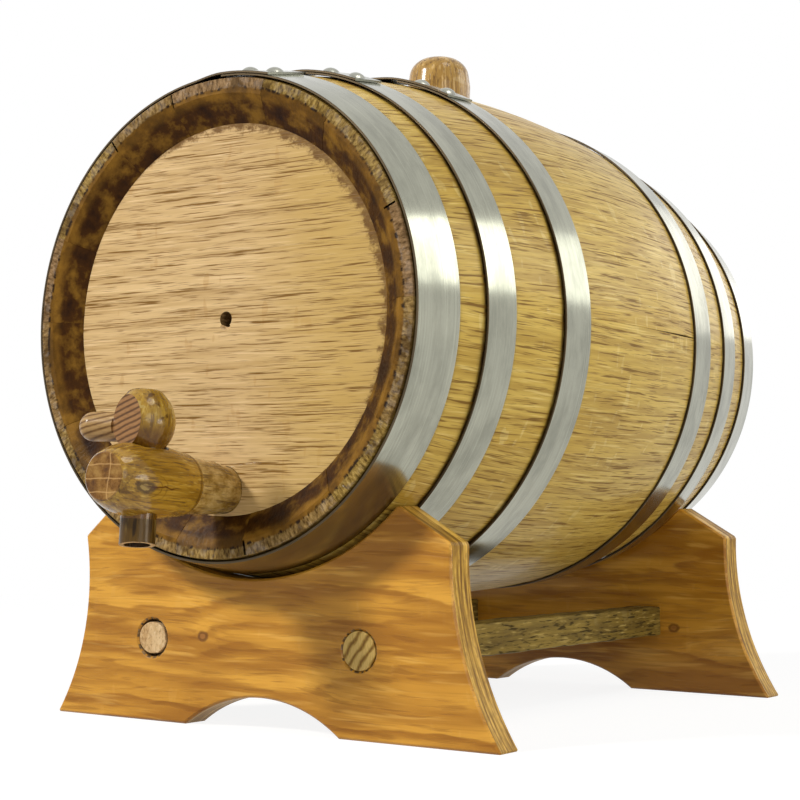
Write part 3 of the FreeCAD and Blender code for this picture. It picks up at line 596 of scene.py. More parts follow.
def tap_marks(bench, grain, oak, colour):
    """Rough stem behind the shoulder, a dark line of painted shade round the shoulder's edge, and a knot near
    the nose.
    """
    parts = bench.parts(grain)
    rough = bench.between(parts["X"], 23.6 * MM, 23.0 * MM)
    blots = bench.ramp(
        bench.noise(grain, (150, 260, 260), detail=4, rough=0.65),
        (0.36, (0.20, 0.11, 0.02)), (0.5, (0.42, 0.27, 0.08)), (0.62, (0.60, 0.42, 0.16)),
    )
    colour = bench.tint(colour, rough, 0.8, blots)
    # Painted shade: a dark ragged line round the shoulder's edge.
    ragged = bench.times_add(bench.noise(grain, 300), 1.4 * MM, parts["X"])
    line = bench.hump(ragged, 24.9 * MM, 25.5 * MM, 26 * MM, 26.6 * MM)
    colour = bench.tint(colour, line, 0.6, (0.09, 0.035, 0.006))
    knot = knot_at(bench, grain, (54, 12.5, -3.1), (0.5, 0.5, 1), 1.9)
    colour = bench.tint(colour, knot["Halo"], 0.5, (0.12, 0.06, 0.008))
    colour = bench.tint(colour, knot["Ring"], 0.8, (0.05, 0.024, 0.004))
    colour = bench.tint(colour, knot["Core"], 0.8, (0.34, 0.24, 0.08))
    bow = bench.times_add(bench.noise(grain, 260), 2.4 * MM, parts["Z"])
    crack = bench.hump(bow, -1.9 * MM, -1.6 * MM, -1.4 * MM, -1.1 * MM)
    crack = bench.times(crack, bench.hump(parts["X"], 37 * MM, 41 * MM, 52 * MM, 54 * MM))
    crack = bench.times(crack, bench.between(parts["Y"], 6 * MM, 8 * MM))
    return bench.tint(colour, crack, 0.9, (0.07, 0.016, 0.003))


def knob_marks_and_shade(bench, grain, oak, colour):
    """Dark blotches round the small knots of the knob, and its underside darkened as painted shade."""
    parts = bench.parts(grain)
    blots = bench.noise(grain, (190, 150, 150), detail=3, rough=0.6)
    colour = bench.mix(bench.between(blots, 0.56, 0.66, 0.0, 0.85), colour, (0.07, 0.026, 0.002))
    colour = bench.mix(bench.between(blots, 0.40, 0.34, 0.0, 0.55), colour, (0.46, 0.35, 0.12))
    # Painted shade: the knob's underside, just above the tap body, darkened.
    return bench.mix(bench.between(parts["X"], 21 * MM, 14 * MM, 0.0, 0.8), colour, (0.13, 0.05, 0.004))


CASK_OAK = oak_surface(
    "cask_oak", (0.66, 0.47, 0.11), (0.55, 0.36, 0.06), (0.32, 0.18, 0.02), (0.78, 0.61, 0.21),
    (0.16, 0.075, 0.008), (0.76, 0.60, 0.22),
    ring=2.6, flame=8, pith=(70, -30), pores=(20, 0.85), gloss=0.36, extra=hoop_dirt_and_shade,
)
HEAD_OAK = oak_surface(
    "head_oak", (0.66, 0.47, 0.235), (0.55, 0.37, 0.165), (0.40, 0.25, 0.09), (0.80, 0.60, 0.35),
    (0.19, 0.095, 0.016), (0.52, 0.31, 0.12),
    ring=2.9, flame=4.5, pith=(-45, -55), pores=(21, 0.6), pore_share=1, gloss=0.38, extra=head_stain,
)
STAND_OAK = oak_surface(
    "stand_oak", (0.74, 0.385, 0.055), (0.58, 0.28, 0.032), (0.32, 0.125, 0.010), (0.84, 0.49, 0.11),
    (0.20, 0.07, 0.007), (0.74, 0.41, 0.09),
    ring=6, flame=30, pith=(30, -45), pores=(34, 2.4), pore_share=0.4, band_share=0.8, ray_share=0.2,
    early_share=0.85, light_share=0.4, gloss=0.26, coat=0.15, extra=board_marks,
)
STRETCHER_OAK = oak_surface(
    "stretcher_oak", (0.32, 0.22, 0.046), (0.18, 0.115, 0.018), (0.07, 0.04, 0.006), (0.52, 0.38, 0.11),
    (0.022, 0.013, 0.002), (0.24, 0.17, 0.05), ring=2, gloss=0.6, coat=0, relief=0.9,
)
TAP_OAK = oak_surface(
    "tap_oak", (0.45, 0.26, 0.03), (0.30, 0.15, 0.010), (0.13, 0.052, 0.003), (0.58, 0.39, 0.08),
    (0.07, 0.026, 0.002), (0.46, 0.29, 0.05),
    ring=3, flame=7, pith=(4, -30), pores=(14, 1.1), pore_share=0.7, gloss=0.2, coat=0.35, extra=tap_marks,
)
KEY_OAK = oak_surface(
    "key_oak", (0.46, 0.29, 0.04), (0.34, 0.19, 0.016), (0.15, 0.065, 0.004), (0.58, 0.41, 0.10),
    (0.08, 0.03, 0.002), (0.46, 0.30, 0.06),
    ring=3, flame=7, pith=(4, -30), pores=(12, 1.1), pore_share=0.6, gloss=0.2, coat=0.35, extra=knob_marks_and_shade,
)
# Near black wood for the inside of the spout's bore: painted shade.
SHADED_BORE_OAK = oak_surface(
    "shaded_bore_oak", (0.055, 0.028, 0.006), (0.035, 0.016, 0.003), (0.015, 0.006, 0.001), (0.08, 0.045, 0.012),
    (0.008, 0.003, 0.001), (0.06, 0.03, 0.006),
    ring=3, flame=7, pith=(4, -30), pores=(14, 1.1), pore_share=0.5, gloss=0.4, coat=0,
)
SPOUT_OAK = oak_surface(
    "spout_oak", (0.17, 0.10, 0.014), (0.10, 0.052, 0.006), (0.035, 0.016, 0.002), (0.34, 0.24, 0.07),
    (0.018, 0.008, 0.001), (0.22, 0.15, 0.03), ring=2, pores=(14, 1.6), gloss=0.3, coat=0.1,
)
BUNG_OAK = oak_surface(
    "bung_oak", (0.60, 0.40, 0.13), (0.42, 0.25, 0.06), (0.24, 0.125, 0.02), (0.76, 0.55, 0.26),
    (0.12, 0.055, 0.01), (0.60, 0.44, 0.2), ring=2.2, flame=5, pith=(10, -25), pores=(10, 1.2),
    gloss=0.22, coat=0.3,
)
PALE_OAK = oak_surface(
    "pale_oak", (0.74, 0.56, 0.33), (0.62, 0.42, 0.21), (0.44, 0.26, 0.10), (0.82, 0.68, 0.46),
    (0.26, 0.14, 0.05), (0.76, 0.60, 0.36),
    ring=2, flame=4, pores=(1.6, 0.8), pore_share=0.6, gloss=0.5, coat=0,
)


def chime_surface():
    """Stave ends: dark stain and painted shade on the bevel, and on the narrow flat bare end grain with
    specks of varnish.
    """
    material, bench, grain = new_material("chime_oak")
    piece = bench.attribute("piece", "Fac")
    blots = bench.noise(grain, (120, 90, 120), detail=4, rough=0.6, w=piece)
    combed = bench.noise(grain, (420, 760, 330), detail=4, rough=0.65)
    bevel = bench.ramp(
        blots, (0.34, (0.015, 0.004, 0.0005)), (0.5, (0.048, 0.017, 0.0015)), (0.66, (0.19, 0.095, 0.012)),
    )
    # Near black deep in by the head, lighter towards the flat: stain, and painted shade of the recess.
    outer = bench.between(bench.parts(grain)["Z"], -9.5 * MM, -6.5 * MM, 0.0, 0.6)
    outer = bench.times(outer, bench.between(blots, 0.36, 0.6, 0.45, 1.0))
    bevel = bench.mix(outer, bevel, (0.27, 0.135, 0.018))
    dusty = bench.ramp(
        combed, (0.34, (0.08, 0.042, 0.014)), (0.5, (0.20, 0.12, 0.052)), (0.66, (0.33, 0.21, 0.105)),
    )
    golden = bench.ramp(
        combed, (0.34, (0.07, 0.038, 0.006)), (0.5, (0.22, 0.14, 0.03)), (0.66, (0.40, 0.28, 0.08)),
    )
    flat = bench.mix(bench.between(bench.luck(piece), 0.1, 1.0), dusty, golden)
    flat = bench.mix(bench.between(blots, 0.5, 0.34, 0.0, 0.75), flat, (0.06, 0.03, 0.006))
    ragged = bench.times_add(bench.centred(blots), 2.5 * MM, bench.parts(grain)["Z"])
    share = bench.between(ragged, -4.0 * MM, -3.3 * MM)
    colour = bench.mix(share, bevel, flat)
    teeth = bench.noise(grain, (200, 420, 200), detail=3, rough=0.6, w=piece)
    bitten = bench.hump(ragged, -4.8 * MM, -3.9 * MM, -3.5 * MM, -2.9 * MM)
    bitten = bench.times(bitten, bench.between(teeth, 0.46, 0.6))
    colour = bench.mix(bitten, colour, (0.018, 0.008, 0.002))
    specks = bench.noise(grain, (400, 260, 260), detail=3, rough=0.6, w=piece)
    varnish(
        bench, colour, bench.between(combed, 0.3, 0.7, 0.35, 0.55), bench.do("ADD", blots, combed),
        relief=0.5, depth=0.35, coat=bench.times(share, bench.between(specks, 0.5, 0.58)), coat_rough=0.08,
        specular=0.08,
    )
    return material


def striped_surface(name, pitch, slope, wander, dark, middle, pale):
    """Cut across the year rings: dark stripes, pitch in millimetres."""
    material, bench, grain = new_material(name)
    parts = bench.parts(grain)
    drift = bench.noise(grain, (150, 150, 150), detail=3)
    rise = bench.times_add(parts["Y"], -slope, parts["X"])
    rings = bench.do("DIVIDE", rise, pitch * MM)
    rings = bench.times_add(bench.centred(drift), wander, rings)
    wave = bench.do("PINGPONG", rings, 0.5)
    fine = bench.noise(grain, (1500, 300, 300), detail=3)
    colour = bench.ramp(wave, (0.06, dark), (0.16, middle), (0.30, pale))
    colour = bench.tint(colour, bench.between(fine, 0.55, 0.3), 0.5, middle)
    rough = bench.between(wave, 0.1, 0.4, 0.45, 0.3)
    varnish(bench, colour, rough, bench.do("ADD", wave, fine), 0.35, coat=0.15, coat_rough=0.12)
    return material


def nose_surface():
    """End grain of the tap's nose, crossed by pale rays and rings."""
    material, bench, grain = new_material("nose_oak")
    parts = bench.parts(grain)
    wander = bench.times(bench.centred(bench.noise(grain, 110)), 0.3)
    blots = bench.noise(grain, (10, 190, 190), detail=4, rough=0.65)
    colour = bench.ramp(
        blots, (0.34, (0.08, 0.028, 0.003)), (0.5, (0.20, 0.09, 0.013)), (0.64, (0.32, 0.18, 0.045)),
    )
    for name, pitch, shift, width in (("Y", 14.0, -0.19, 0.032), ("Z", 4.6, 0.15, 0.08)):
        line = bench.do("ADD", bench.times_add(parts[name], 1 / (pitch * MM), shift), wander)
        wave = bench.do("PINGPONG", line, 0.5)
        share = bench.times(bench.between(wave, width, 0.0), 0.65)
        colour = bench.mix(share, colour, (0.56, 0.34, 0.13))
    varnish(bench, colour, bench.between(blots, 0.3, 0.7, 0.2, 0.4), coat=0.2, coat_rough=0.12)
    return material


def side_surface():
    """Sawn side of a stand board: year rings end as lines along the edge."""
    material, bench, grain = new_material("side_oak")
    lines = bench.noise(grain, (20, 45, 700), detail=3, rough=0.6)
    dust = bench.noise(grain, (300, 300, 500), detail=3, rough=0.6)
    colour = bench.ramp(
        lines, (0.36, (0.17, 0.08, 0.008)), (0.48, (0.42, 0.23, 0.028)), (0.62, (0.70, 0.43, 0.08)),
    )
    colour = bench.tint(colour, bench.between(dust, 0.55, 0.35), 0.4, (0.20, 0.10, 0.02))
    varnish(bench, colour, bench.between(lines, 0.3, 0.7, 0.5, 0.35), lines, 0.4)
    return material


CHIME_OAK = chime_surface()
PEG_OAK = striped_surface(
    "peg_oak", 2.1, 0.27, 0.35, (0.11, 0.05, 0.012), (0.25, 0.14, 0.045), (0.40, 0.25, 0.10)
)
THUMB_OAK = striped_surface(
    "thumb_oak", 2.1, 0.27, 0.35, (0.07, 0.026, 0.005), (0.16, 0.07, 0.018), (0.30, 0.15, 0.05)
)
PLUG_OAK = striped_surface(
    "plug_oak", 4.6, 0.75, 0.9, (0.20, 0.095, 0.012), (0.40, 0.24, 0.045), (0.66, 0.46, 0.14)
)
NOSE_OAK = nose_surface()
SIDE_OAK = side_surface()


def steel_surface(name, base, rough=0.24, across=1500):
    """Strip steel, brushed along its length, with dull blooms from the zinc."""
    material, bench, grain = new_material(name)
    brush = bench.noise(grain, (14, across, across), detail=3, rough=0.65)
    bloom = bench.noise(grain, (45, 110, 110), detail=4, rough=0.6)
    dull, bright = tuple(share * 0.72 for share in base), tuple(share * 1.3 for share in base)
    colour = bench.mix(bench.between(bloom, 0.35, 0.7), base, dull)
    colour = bench.tint(colour, bench.between(brush, 0.5, 0.3), 0.5, dull)
    colour = bench.tint(colour, bench.between(brush, 0.55, 0.75), 0.5, bright)
    dullness = bench.times_add(bloom, 0.2, rough - 0.16)
    varnish(bench, colour, dullness, brush, 0.12, 0.05, specular=0.5, metallic=1.0, brushed=0.4)
    return material


HOOP_STEEL = steel_surface("hoop_steel", (0.37, 0.37, 0.295))
# Dark steel for the hoops' cut edges: partly grime on the cut steel, partly painted shade.
DARK_SHADED_EDGE_STEEL = steel_surface("dark_shaded_edge_steel", (0.10, 0.075, 0.045), rough=0.55)
RIVET_STEEL = steel_surface("rivet_steel", (0.42, 0.42, 0.36), rough=0.32, across=300)
SCREW_STEEL = steel_surface("screw_steel", (0.55, 0.53, 0.46), rough=0.35, across=300)


# ---- staves
CROZE_WIDE = 5 * MM
INNER_END = CROZE - 1.45 * MM
STAVE_THICK = 14 * MM


def stave_outline():
    """A stave cut along the cask as (y, radius): over the outside to the rear, then back along the inside."""
    places = list(np.linspace(FRONT_END, REAR_END, 57))
    for low, high in HOOP_EDGES:
        for step in (-0.3, 0.4, 1.1, 2.2):
            places += [low - step * MM, high + step * MM]
    places = sorted(place for place in places if FRONT_END <= place <= REAR_END)
    gaps = [HALF] + list(np.diff(places))
    outside = [(y, cask_radius(y)) for y, gap in zip(places, gaps) if gap > 0.1 * MM]
    belly_end = HALF - HEAD_SETBACK - CROZE_WIDE
    end = [
        (HALF, CHIME_INNER),
        (HALF - HEAD_SETBACK, HEAD_SIGHT),
        (HALF - HEAD_SETBACK, CROZE),
        (belly_end, CROZE),
    ]
    belly_rise = BILGE - STAVE_THICK - INNER_END
    belly_places = np.linspace(belly_end, -belly_end, 25)
    belly = [(s, INNER_END + belly_rise * (1 - (s / belly_end) ** 2)) for s in belly_places]
    inside = end + belly + [(-s, radius) for s, radius in reversed(end)]
    return outside + [(MIDDLE_Y + s, radius) for s, radius in inside]


def shrinkage(y):
    """Half the width of the joint that has dried open on the right side of the cask."""
    widest, middle, reach = 0.27 * MM, 62 * MM, 26 * MM
    ragged = 1 + 0.5 * noise.noise(Vector((y * 240, 3.7, 0)))
    return widest * math.exp(-((y - middle) / reach) ** 2) * ragged


BUNG_SEAT = Matrix.Translation((AXIS_X, sum(corner.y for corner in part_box("bung")) / 2, 0))
JOINT_GAP = 0.035 * MM
PROUD = 0.07 * MM
OPEN_BETWEEN = (4, 5)


def soil_and_shade_beside_hoops(points):
    """1 under the hoops, fading away beside them: where stain and painted shade darken the staves."""
    dirt_and_shade = np.zeros(len(points))
    for low, high in HOOP_EDGES:
        beside = np.maximum(np.maximum(low - points[:, 1], points[:, 1] - high), 0)
        dirt_and_shade = np.maximum(dirt_and_shade, np.exp(-(beside / (0.9 * MM)) ** 1.5))
    return dirt_and_shade


def make_stave(node, number):
    angles = around_cask(node_points(node))[0]
    middle = math.atan2(np.sin(angles).sum(), np.cos(angles).sum())
    half = np.abs(wrapped(angles - middle)).max() - JOINT_GAP / BILGE
    proud = PROUD * math.sin(number * 2.4)
    outline = stave_outline()
    steps = 9
    rings = []
    for step in range(steps + 1):
        ring = []
        for y, radius in outline:
            start = half - (shrinkage(y) / BILGE if number == OPEN_BETWEEN[1] else 0)
            end = half - (shrinkage(y) / BILGE if number == OPEN_BETWEEN[0] else 0)
            ring.append(on_cask(middle - start + (start + end) * step / steps, y, radius + proud))
        rings.append(ring)
    piece = lofted("oak_" + node, rings, [CASK_OAK, CHIME_OAK])
    if node == "stave_01":
        low, high = (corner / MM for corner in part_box("bung"))
        cut_away(piece, drill("bung_hole", (8.6, low.z - 5), (10.25, high.z), CHIME_OAK, BUNG_SEAT, 64))
    ease_edges(piece, 0.14 * MM)

    def ends_are_dark(place, normal, given):
        radius = math.hypot(place.x - AXIS_X, place.z - AXIS_Z)
        at_end = abs(place.y - MIDDLE_Y) > HALF - 2.4 * MM
        return 1 if at_end or radius < cask_radius(place.y) - 3 * MM else given

    paint(piece, ends_are_dark)

    def grain(points):
        angles, spread = around_cask(points)
        outside = cask_radius(points[:, 1])
        return points[:, 1], wrapped(angles - middle) * outside, spread - outside

    finish_piece(piece, "cask", grain, node, number, soil_and_shade=soil_and_shade_beside_hoops)


for number in range(1, 15):
    make_stave("stave_%02d" % number, number)


# ---- heads
KEY_CROSS = Vector(JOINTS["key_turn"]["pos_m"])
KEY_AXIS = Vector(JOINTS["key_turn"]["axis"]).normalized()
TAP_AXIS = Vector(JOINTS["tap_pull"]["axis"]).normalized()
TAP_ROOT = KEY_CROSS - TAP_AXIS * (KEY_CROSS.y - HEAD_FACE) / TAP_AXIS.y


def centre_hole(face):
    """Lathe centre: a round blind hole."""
    seat = seat_on((AXIS_X, face, AXIS_Z), (0, -1, 0), Vector((1, 0, 0)))
    return drill("centre_hole", (2.75, -6), (2.8, 0.5), CHIME_OAK, seat, 32)


def centre_chip(face):
    """Where the drill tore the lower edge of the centre hole."""
    outline = fillet([(0, -1.6), (1.5, -1.3), (2.5, 0.5), (0, 0.5)], [0, 0.5, 0, 0])
    seat = seat_on((AXIS_X - 0.2 * MM, face, AXIS_Z - 2.9 * MM), (0, -1, 0), Vector((1, 0, 0)))
    return turned("centre_chip", outline, [PALE_OAK], seat @ Matrix.Diagonal((1.1, 0.55, 1, 1)), 24)


def make_head_board(end, board, number):
    node = "%s_head_%s" % (end, board)
    low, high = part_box(node)
    steps = 160
    turns = [2 * math.pi * k / steps for k in range(steps)]
    rings = [
        [(AXIS_X + CROZE * math.cos(turn), y, AXIS_Z + CROZE * math.sin(turn)) for turn in turns]
        for y in (low.y, high.y)
    ]
    piece = lofted("oak_" + node, rings, [HEAD_OAK])
    cleave = bmesh.new()
    cleave.from_mesh(piece.data)
    gap = 0.02 * MM
    for height, keep_above in ((low.z + gap, True), (high.z - gap, False)):
        if abs(height - AXIS_Z) > CROZE - MM:
            continue
        cut = bmesh.ops.bisect_plane(
            cleave, geom=cleave.verts[:] + cleave.edges[:] + cleave.faces[:], plane_co=(0, 0, height),
            plane_no=(0, 0, 1), clear_inner=keep_above, clear_outer=not keep_above,
        )
        rim_edges = [item for item in cut["geom_cut"] if isinstance(item, bmesh.types.BMEdge)]
        bmesh.ops.contextual_create(cleave, geom=rim_edges)
    cleave.to_mesh(piece.data)
    cleave.free()
    if node == "front_head_middle":
        cut_away(piece, centre_chip(low.y), centre_hole(low.y))
    if node == "front_head_bottom":
        cut_away(piece, drill("tap_hole", (7.4, -30), (9.3, 13), CHIME_OAK, seat_on(TAP_ROOT, TAP_AXIS), 64))
    facing = -1 if end == "front" else 1

    def grain(points):
        return points[:, 0] - AXIS_X, points[:, 2] - AXIS_Z, facing * points[:, 1]

    finish_piece(piece, "cask", grain, node, number)


for end, number in (("front", 21), ("rear", 31)):
    for board in ("top", "middle", "bottom"):
        make_head_board(end, board, number)


# ---- hoops
STRIP = 0.9 * MM
LAP_TURNS = (8, 16, 22, -14, -20, -9)


def make_hoop(name, lap_turn):
    """A strip bent round the cask, its end lapped over its start and riveted."""
    node = "hoop_" + name
    low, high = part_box(node)
    points = node_points(node)
    spread = around_cask(points)[1]
    radii = [spread[np.abs(points[:, 1] - y) < 2 * SAME_PLACE].min() for y in (low.y, high.y)]
    lap, climb_turn, tip_turn = 26 * MM / BILGE, 0.16, 0.05
    start = math.radians(lap_turn) - lap / 2
    steps = 240
    width, edge = high.y - low.y, 0.2 * MM
    loop = [
        (edge, 0), (width - edge, 0), (width, edge), (width, STRIP - edge), (width - edge, STRIP),
        (width * 0.66, STRIP), (width * 0.33, STRIP), (edge, STRIP), (0, STRIP - edge), (0, edge),
    ]
    total = 2 * math.pi + lap
    rings = []
    for step in range(steps + 1):
        turn = total * step / steps
        climb = min(max((turn - (2 * math.pi - climb_turn)) / climb_turn, 0), 1)
        lift = STRIP * 1.06 * climb * climb * (3 - 2 * climb)
        tip = max(0, (turn - (total - tip_turn)) / tip_turn)
        lift += 0.12 * MM * tip * tip
        lift += 0.02 * MM * noise.noise(Vector((math.cos(turn) * 2.1, math.sin(turn) * 2.1, low.y * 90)))
        ring = []
        for across, out in loop:
            radius = radii[0] + (radii[1] - radii[0]) * across / width + out + lift
            ring.append(on_cask(start + turn, low.y + across, radius))
        rings.append(ring)
    piece = lofted("strip_" + name, rings, [HOOP_STEEL, DARK_SHADED_EDGE_STEEL])
    # The strip's edges, facing along Y, get the dark edge steel: grime and painted shade.
    paint(piece, lambda place, normal, given: 1 if abs(normal.y) > 0.45 else 0)

    def grain(points):
        angles, spread = around_cask(points)
        return (angles % (2 * math.pi)) * spread, points[:, 1], spread * 0.2

    finish_piece(piece, "cask", grain, node, 41 + lap_turn, crease=28)


for name, lap_turn in zip(HOOPS, LAP_TURNS):
    make_hoop(name, lap_turn)


# ---- bung
def grain_along(seat):
    """Grain of a turned piece whose fibres run along the Z of its seat."""
    back = np.array(seat.inverted())

    def grain(points):
        local = points @ back[:3, :3].T + back[:3, 3]
        return local[:, 2], local[:, 0], local[:, 1]

    return grain


def make_bung():
    low, high = (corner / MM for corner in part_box("bung"))
    crown, neck = high.z, (BILGE + AXIS_Z) / MM + 0.6
    outline = fillet(
        [
            (0, low.z), (8.8, low.z), (10.0, neck), (13.3, neck), (13.6, neck + 9), (12.4, crown - 4.5),
            (7.5, crown - 0.2), (0, crown),
        ],
        [0, 0.4, 0.3, 1.2, 7, 8, 9, 0],
    )
    piece = turned("turned_bung", outline, [BUNG_OAK], BUNG_SEAT)
    finish_piece(piece, "bung", grain_along(BUNG_SEAT), "bung", 51, crease=50)


make_bung()


# ---- tap and key
TAP_SEAT = seat_on(TAP_ROOT, TAP_AXIS, Vector((1, 0, 0)))
KEY_SEAT = seat_on(KEY_CROSS, KEY_AXIS, Vector((1, 0, 0)))


def make_tap():
    tail, shoulder, nose = -24, 23, 62.5
    barrel, nose_radius, bend_start = 12.9, 8.4, 47
    rim, step, round_edge = (10.5, shoulder + 0.15), (11.3, shoulder + 2.5), 2.5
    bend = ((nose - bend_start) ** 2 + (barrel - nose_radius) ** 2) / (2 * (barrel - nose_radius))
    outline = [(0, tail), (7.3, tail), (8.5, 0), (9.7, 9), (10.3, shoulder)]
    outline += arc(rim, step, round_edge, 1, 8)
    outline += fillet([step, (barrel, 36), (barrel, bend_start)], [0, 40, 0])
    outline += arc((barrel, bend_start), (nose_radius, nose), bend, 1, 16)
    outline += [(nose_radius, nose - 0.4), (nose_radius - 0.4, nose), (0, nose)]
    piece = turned("turned_tap", outline, [TAP_OAK, NOSE_OAK], TAP_SEAT, 128)
    key_hole = [(0, -16), (6.25, -13.3), (7.3, 13.4), (0, 16)]
    cut_away(
        piece, turned("key_hole", key_hole, [TAP_OAK], KEY_SEAT, 64),
        drill("knob_seat", (8.95, 10.9), (10, 16), TAP_OAK, KEY_SEAT, 96),
        drill("bore", (3, -30), (3, 44), TAP_OAK, TAP_SEAT, 32),
    )
    nose_plane = (TAP_SEAT @ Vector((0, 0, nose * MM))).dot(TAP_AXIS)
    paint(piece, lambda place, normal, given: int(place.dot(TAP_AXIS) > nose_plane - 0.3 * MM))
    finish_piece(piece, "tap", grain_along(TAP_SEAT), "tap_body", 52, crease=30)


PEG_TURN = math.radians(74)
PEG_HEIGHT, PEG_BACK, PEG_RADIUS, PEG_FOOT = 18.6, 2, 5.2, 4.2
FLAT_TURN, FLAT_DEEP, FLAT_HALF = math.radians(-12), 7.2, 8.2
SPOUT_END, SPOUT_RADIUS, SPOUT_BORE = -23, 6.2, 4.6


def peg_seat():
    """The thumb peg points left of the tap's nose."""
    away = KEY_SEAT.to_3x3() @ Vector((-math.sin(PEG_TURN), -math.cos(PEG_TURN), 0))
    return seat_on(KEY_SEAT @ (Vector((0, PEG_BACK, PEG_HEIGHT)) * MM), away, KEY_AXIS)


def thumb_flat(side=25):
    """Block that leaves the flat on the front of the knob."""
    place = KEY_SEAT @ Matrix.Rotation(FLAT_TURN, 4, "Z")
    return block("thumb_flat", (-side, side), (-FLAT_DEEP, -40), (11.3, 40), THUMB_OAK, place)


def spout_slant():
    """Block that cuts the spout's end aslant, open to the front."""
    lean = Matrix.Rotation(math.radians(-9), 4, Vector((0.62, 0.78, 0)))
    place = KEY_SEAT @ Matrix.Translation((0, 0, (SPOUT_END + 0.8) * MM)) @ lean
    return block("spout_slant", (-9, 9), (-9, 9), (0, -9), PALE_OAK, place)


def make_key():
    under, widest, brow, top = (7.12, 11), (10.9, 20.4), (7.4, 28.9), 31.5
    outline = [(0, SPOUT_END), (6, SPOUT_END), (SPOUT_RADIUS, SPOUT_END + 0.3), (SPOUT_RADIUS, -13.3)]
    outline += arc(under, widest, 13, 1, 16)
    outline += arc(widest, brow, 13.5, 1, 14)
    outline += fillet([brow, (5.2, top), (0, top)], [0, 3.5, 0], 8)
    piece = turned("turned_key", outline, [KEY_OAK, SPOUT_OAK], KEY_SEAT)
    port = drill("port", (3, 0), (3, 9), TAP_OAK, seat_on(KEY_CROSS, (1, 0, 0), KEY_AXIS), 24)
    hole = drill("peg_hole", (PEG_RADIUS + 0.02, PEG_FOOT), (PEG_RADIUS + 0.02, 30), TAP_OAK, peg_seat())
    cut_away(piece, port, thumb_flat(), hole, spout_slant())
    # The spout's bore is lined with near black wood: painted shade inside the hole.
    cut_away(piece, drill("spout_bore", (SPOUT_BORE, -30), (SPOUT_BORE, 4), SHADED_BORE_OAK, KEY_SEAT))
    upright = KEY_SEAT.inverted()
    paint(piece, lambda place, normal, given: 1 if not given and (upright @ place).z < -8 * MM else given)
    finish_piece(piece, "key", grain_along(KEY_SEAT), "key", 53, crease=30)


def make_peg():
    reach, radius = 25.9, PEG_RADIUS
    turns = np.linspace(0, math.pi / 2, 12)
    dome = [(radius * math.cos(turn), reach - radius + radius * math.sin(turn)) for turn in turns]
    outline = [(0, PEG_FOOT + 0.1), (radius, PEG_FOOT + 0.1)] + dome[:-1] + [(0, reach)]
    piece = turned("turned_peg", outline, [PEG_OAK], peg_seat(), 64)
    cut_away(piece, thumb_flat(FLAT_HALF))
    finish_piece(piece, "key", grain_along(KEY_SEAT), "key_peg", 54, crease=50)


make_tap()
make_key()
make_peg()


# ---- stand
def cradle_outline(low, high, seat):
    """Outline of a stand board as (x, z), counterclockwise from the left foot."""
    arch_left, arch_right, arch_rise = -32 * MM, 40 * MM, 12 * MM
    horn, shoulder = 83 * MM, 70 * MM
    shoulder_left, shoulder_right = -85 * MM, 87.2 * MM
    horn_side = math.sqrt(seat ** 2 - (AXIS_Z - horn) ** 2)
    half_arch = (arch_right - arch_left) / 2
    bend = (half_arch ** 2 + arch_rise ** 2) / (2 * arch_rise)
    outline = [(low.x, 0)]
    outline += arc((arch_left, 0), (arch_right, 0), bend, -1, 32)
    outline += [(arch_right, 0)]
    outline += arc((high.x, 0), (shoulder_right, shoulder), 119 * MM, -1, 28)
    outline += [(shoulder_right, shoulder)]
    outline += arc((AXIS_X + horn_side, horn), (AXIS_X - horn_side, horn), seat, -1, 72)
    outline += [(AXIS_X - horn_side, horn)]
    outline += arc((shoulder_left, shoulder), (low.x, 0), 95 * MM, -1, 28)
    return outline


PLUG_SIDE, PLUG_HEIGHT = 48.8 * MM, 31.5 * MM


def outer_face(end):
    """Where the outer face of a stand board lies along Y, and which way it looks."""
    low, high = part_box("cradle_" + end)
    return (low.y, -1) if end == "front" else (high.y, 1)


def plug_seat(end, side):
    outer, out = outer_face(end)
    return seat_on((side * PLUG_SIDE, outer, PLUG_HEIGHT), (0, out, 0), Vector((0, 0, 1)))


def make_cradle(end, number):
    node = "cradle_" + end
    low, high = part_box(node)
    inner = high.y if end == "front" else low.y
    outline = cradle_outline(low, high, cask_radius(inner) + 0.3 * MM)
    rings = [[(x, y, z) for x, z in outline] for y in (low.y, high.y)]
    piece = lofted("sawn_" + node, rings, [STAND_OAK, CHIME_OAK, SIDE_OAK])
    for side in (-1, 1):
        cut_away(piece, drill("recess", (7.15, -5), (7.2, 1), CHIME_OAK, plug_seat(end, side)))
    ease_edges(piece, 0.8 * MM, angle=50)
    ease_edges(piece, 0.15 * MM, angle=30)
    paint(piece, lambda place, normal, given: 2 if abs(normal.y) < 0.3 and not given else given)
    outer, out = outer_face(end)

    def grain(points):
        return points[:, 0], points[:, 2] - 40 * MM, out * (outer - points[:, 1])

    finish_piece(piece, "stand", grain, node, number, crease=20)


def make_plug(name, end, side, outline_radius, material, turn, number):
    """A wood plug over a screw. The radius changes with the angle, because the plugs are whittled."""
    seat = plug_seat(end, side)
    steps = 48
    rings = []
    for share, height in ((1, -4.95), (1, -0.45), (0.98, -0.15), (0.95, -0.02)):
        ring = []
        for step in range(steps):
            angle = 2 * math.pi * step / steps
            radius = outline_radius(angle) * share * MM
            ring.append(seat @ Vector((radius * math.cos(angle), radius * math.sin(angle), height * MM)))
        rings.append(ring)
    piece = lofted(name, rings, [material])
    swing = seat @ Matrix.Rotation(math.radians(turn), 4, "Z") @ Matrix.Rotation(math.radians(90), 4, "X")
    finish_piece(piece, "stand", grain_along(swing), "screw_plugs", number)


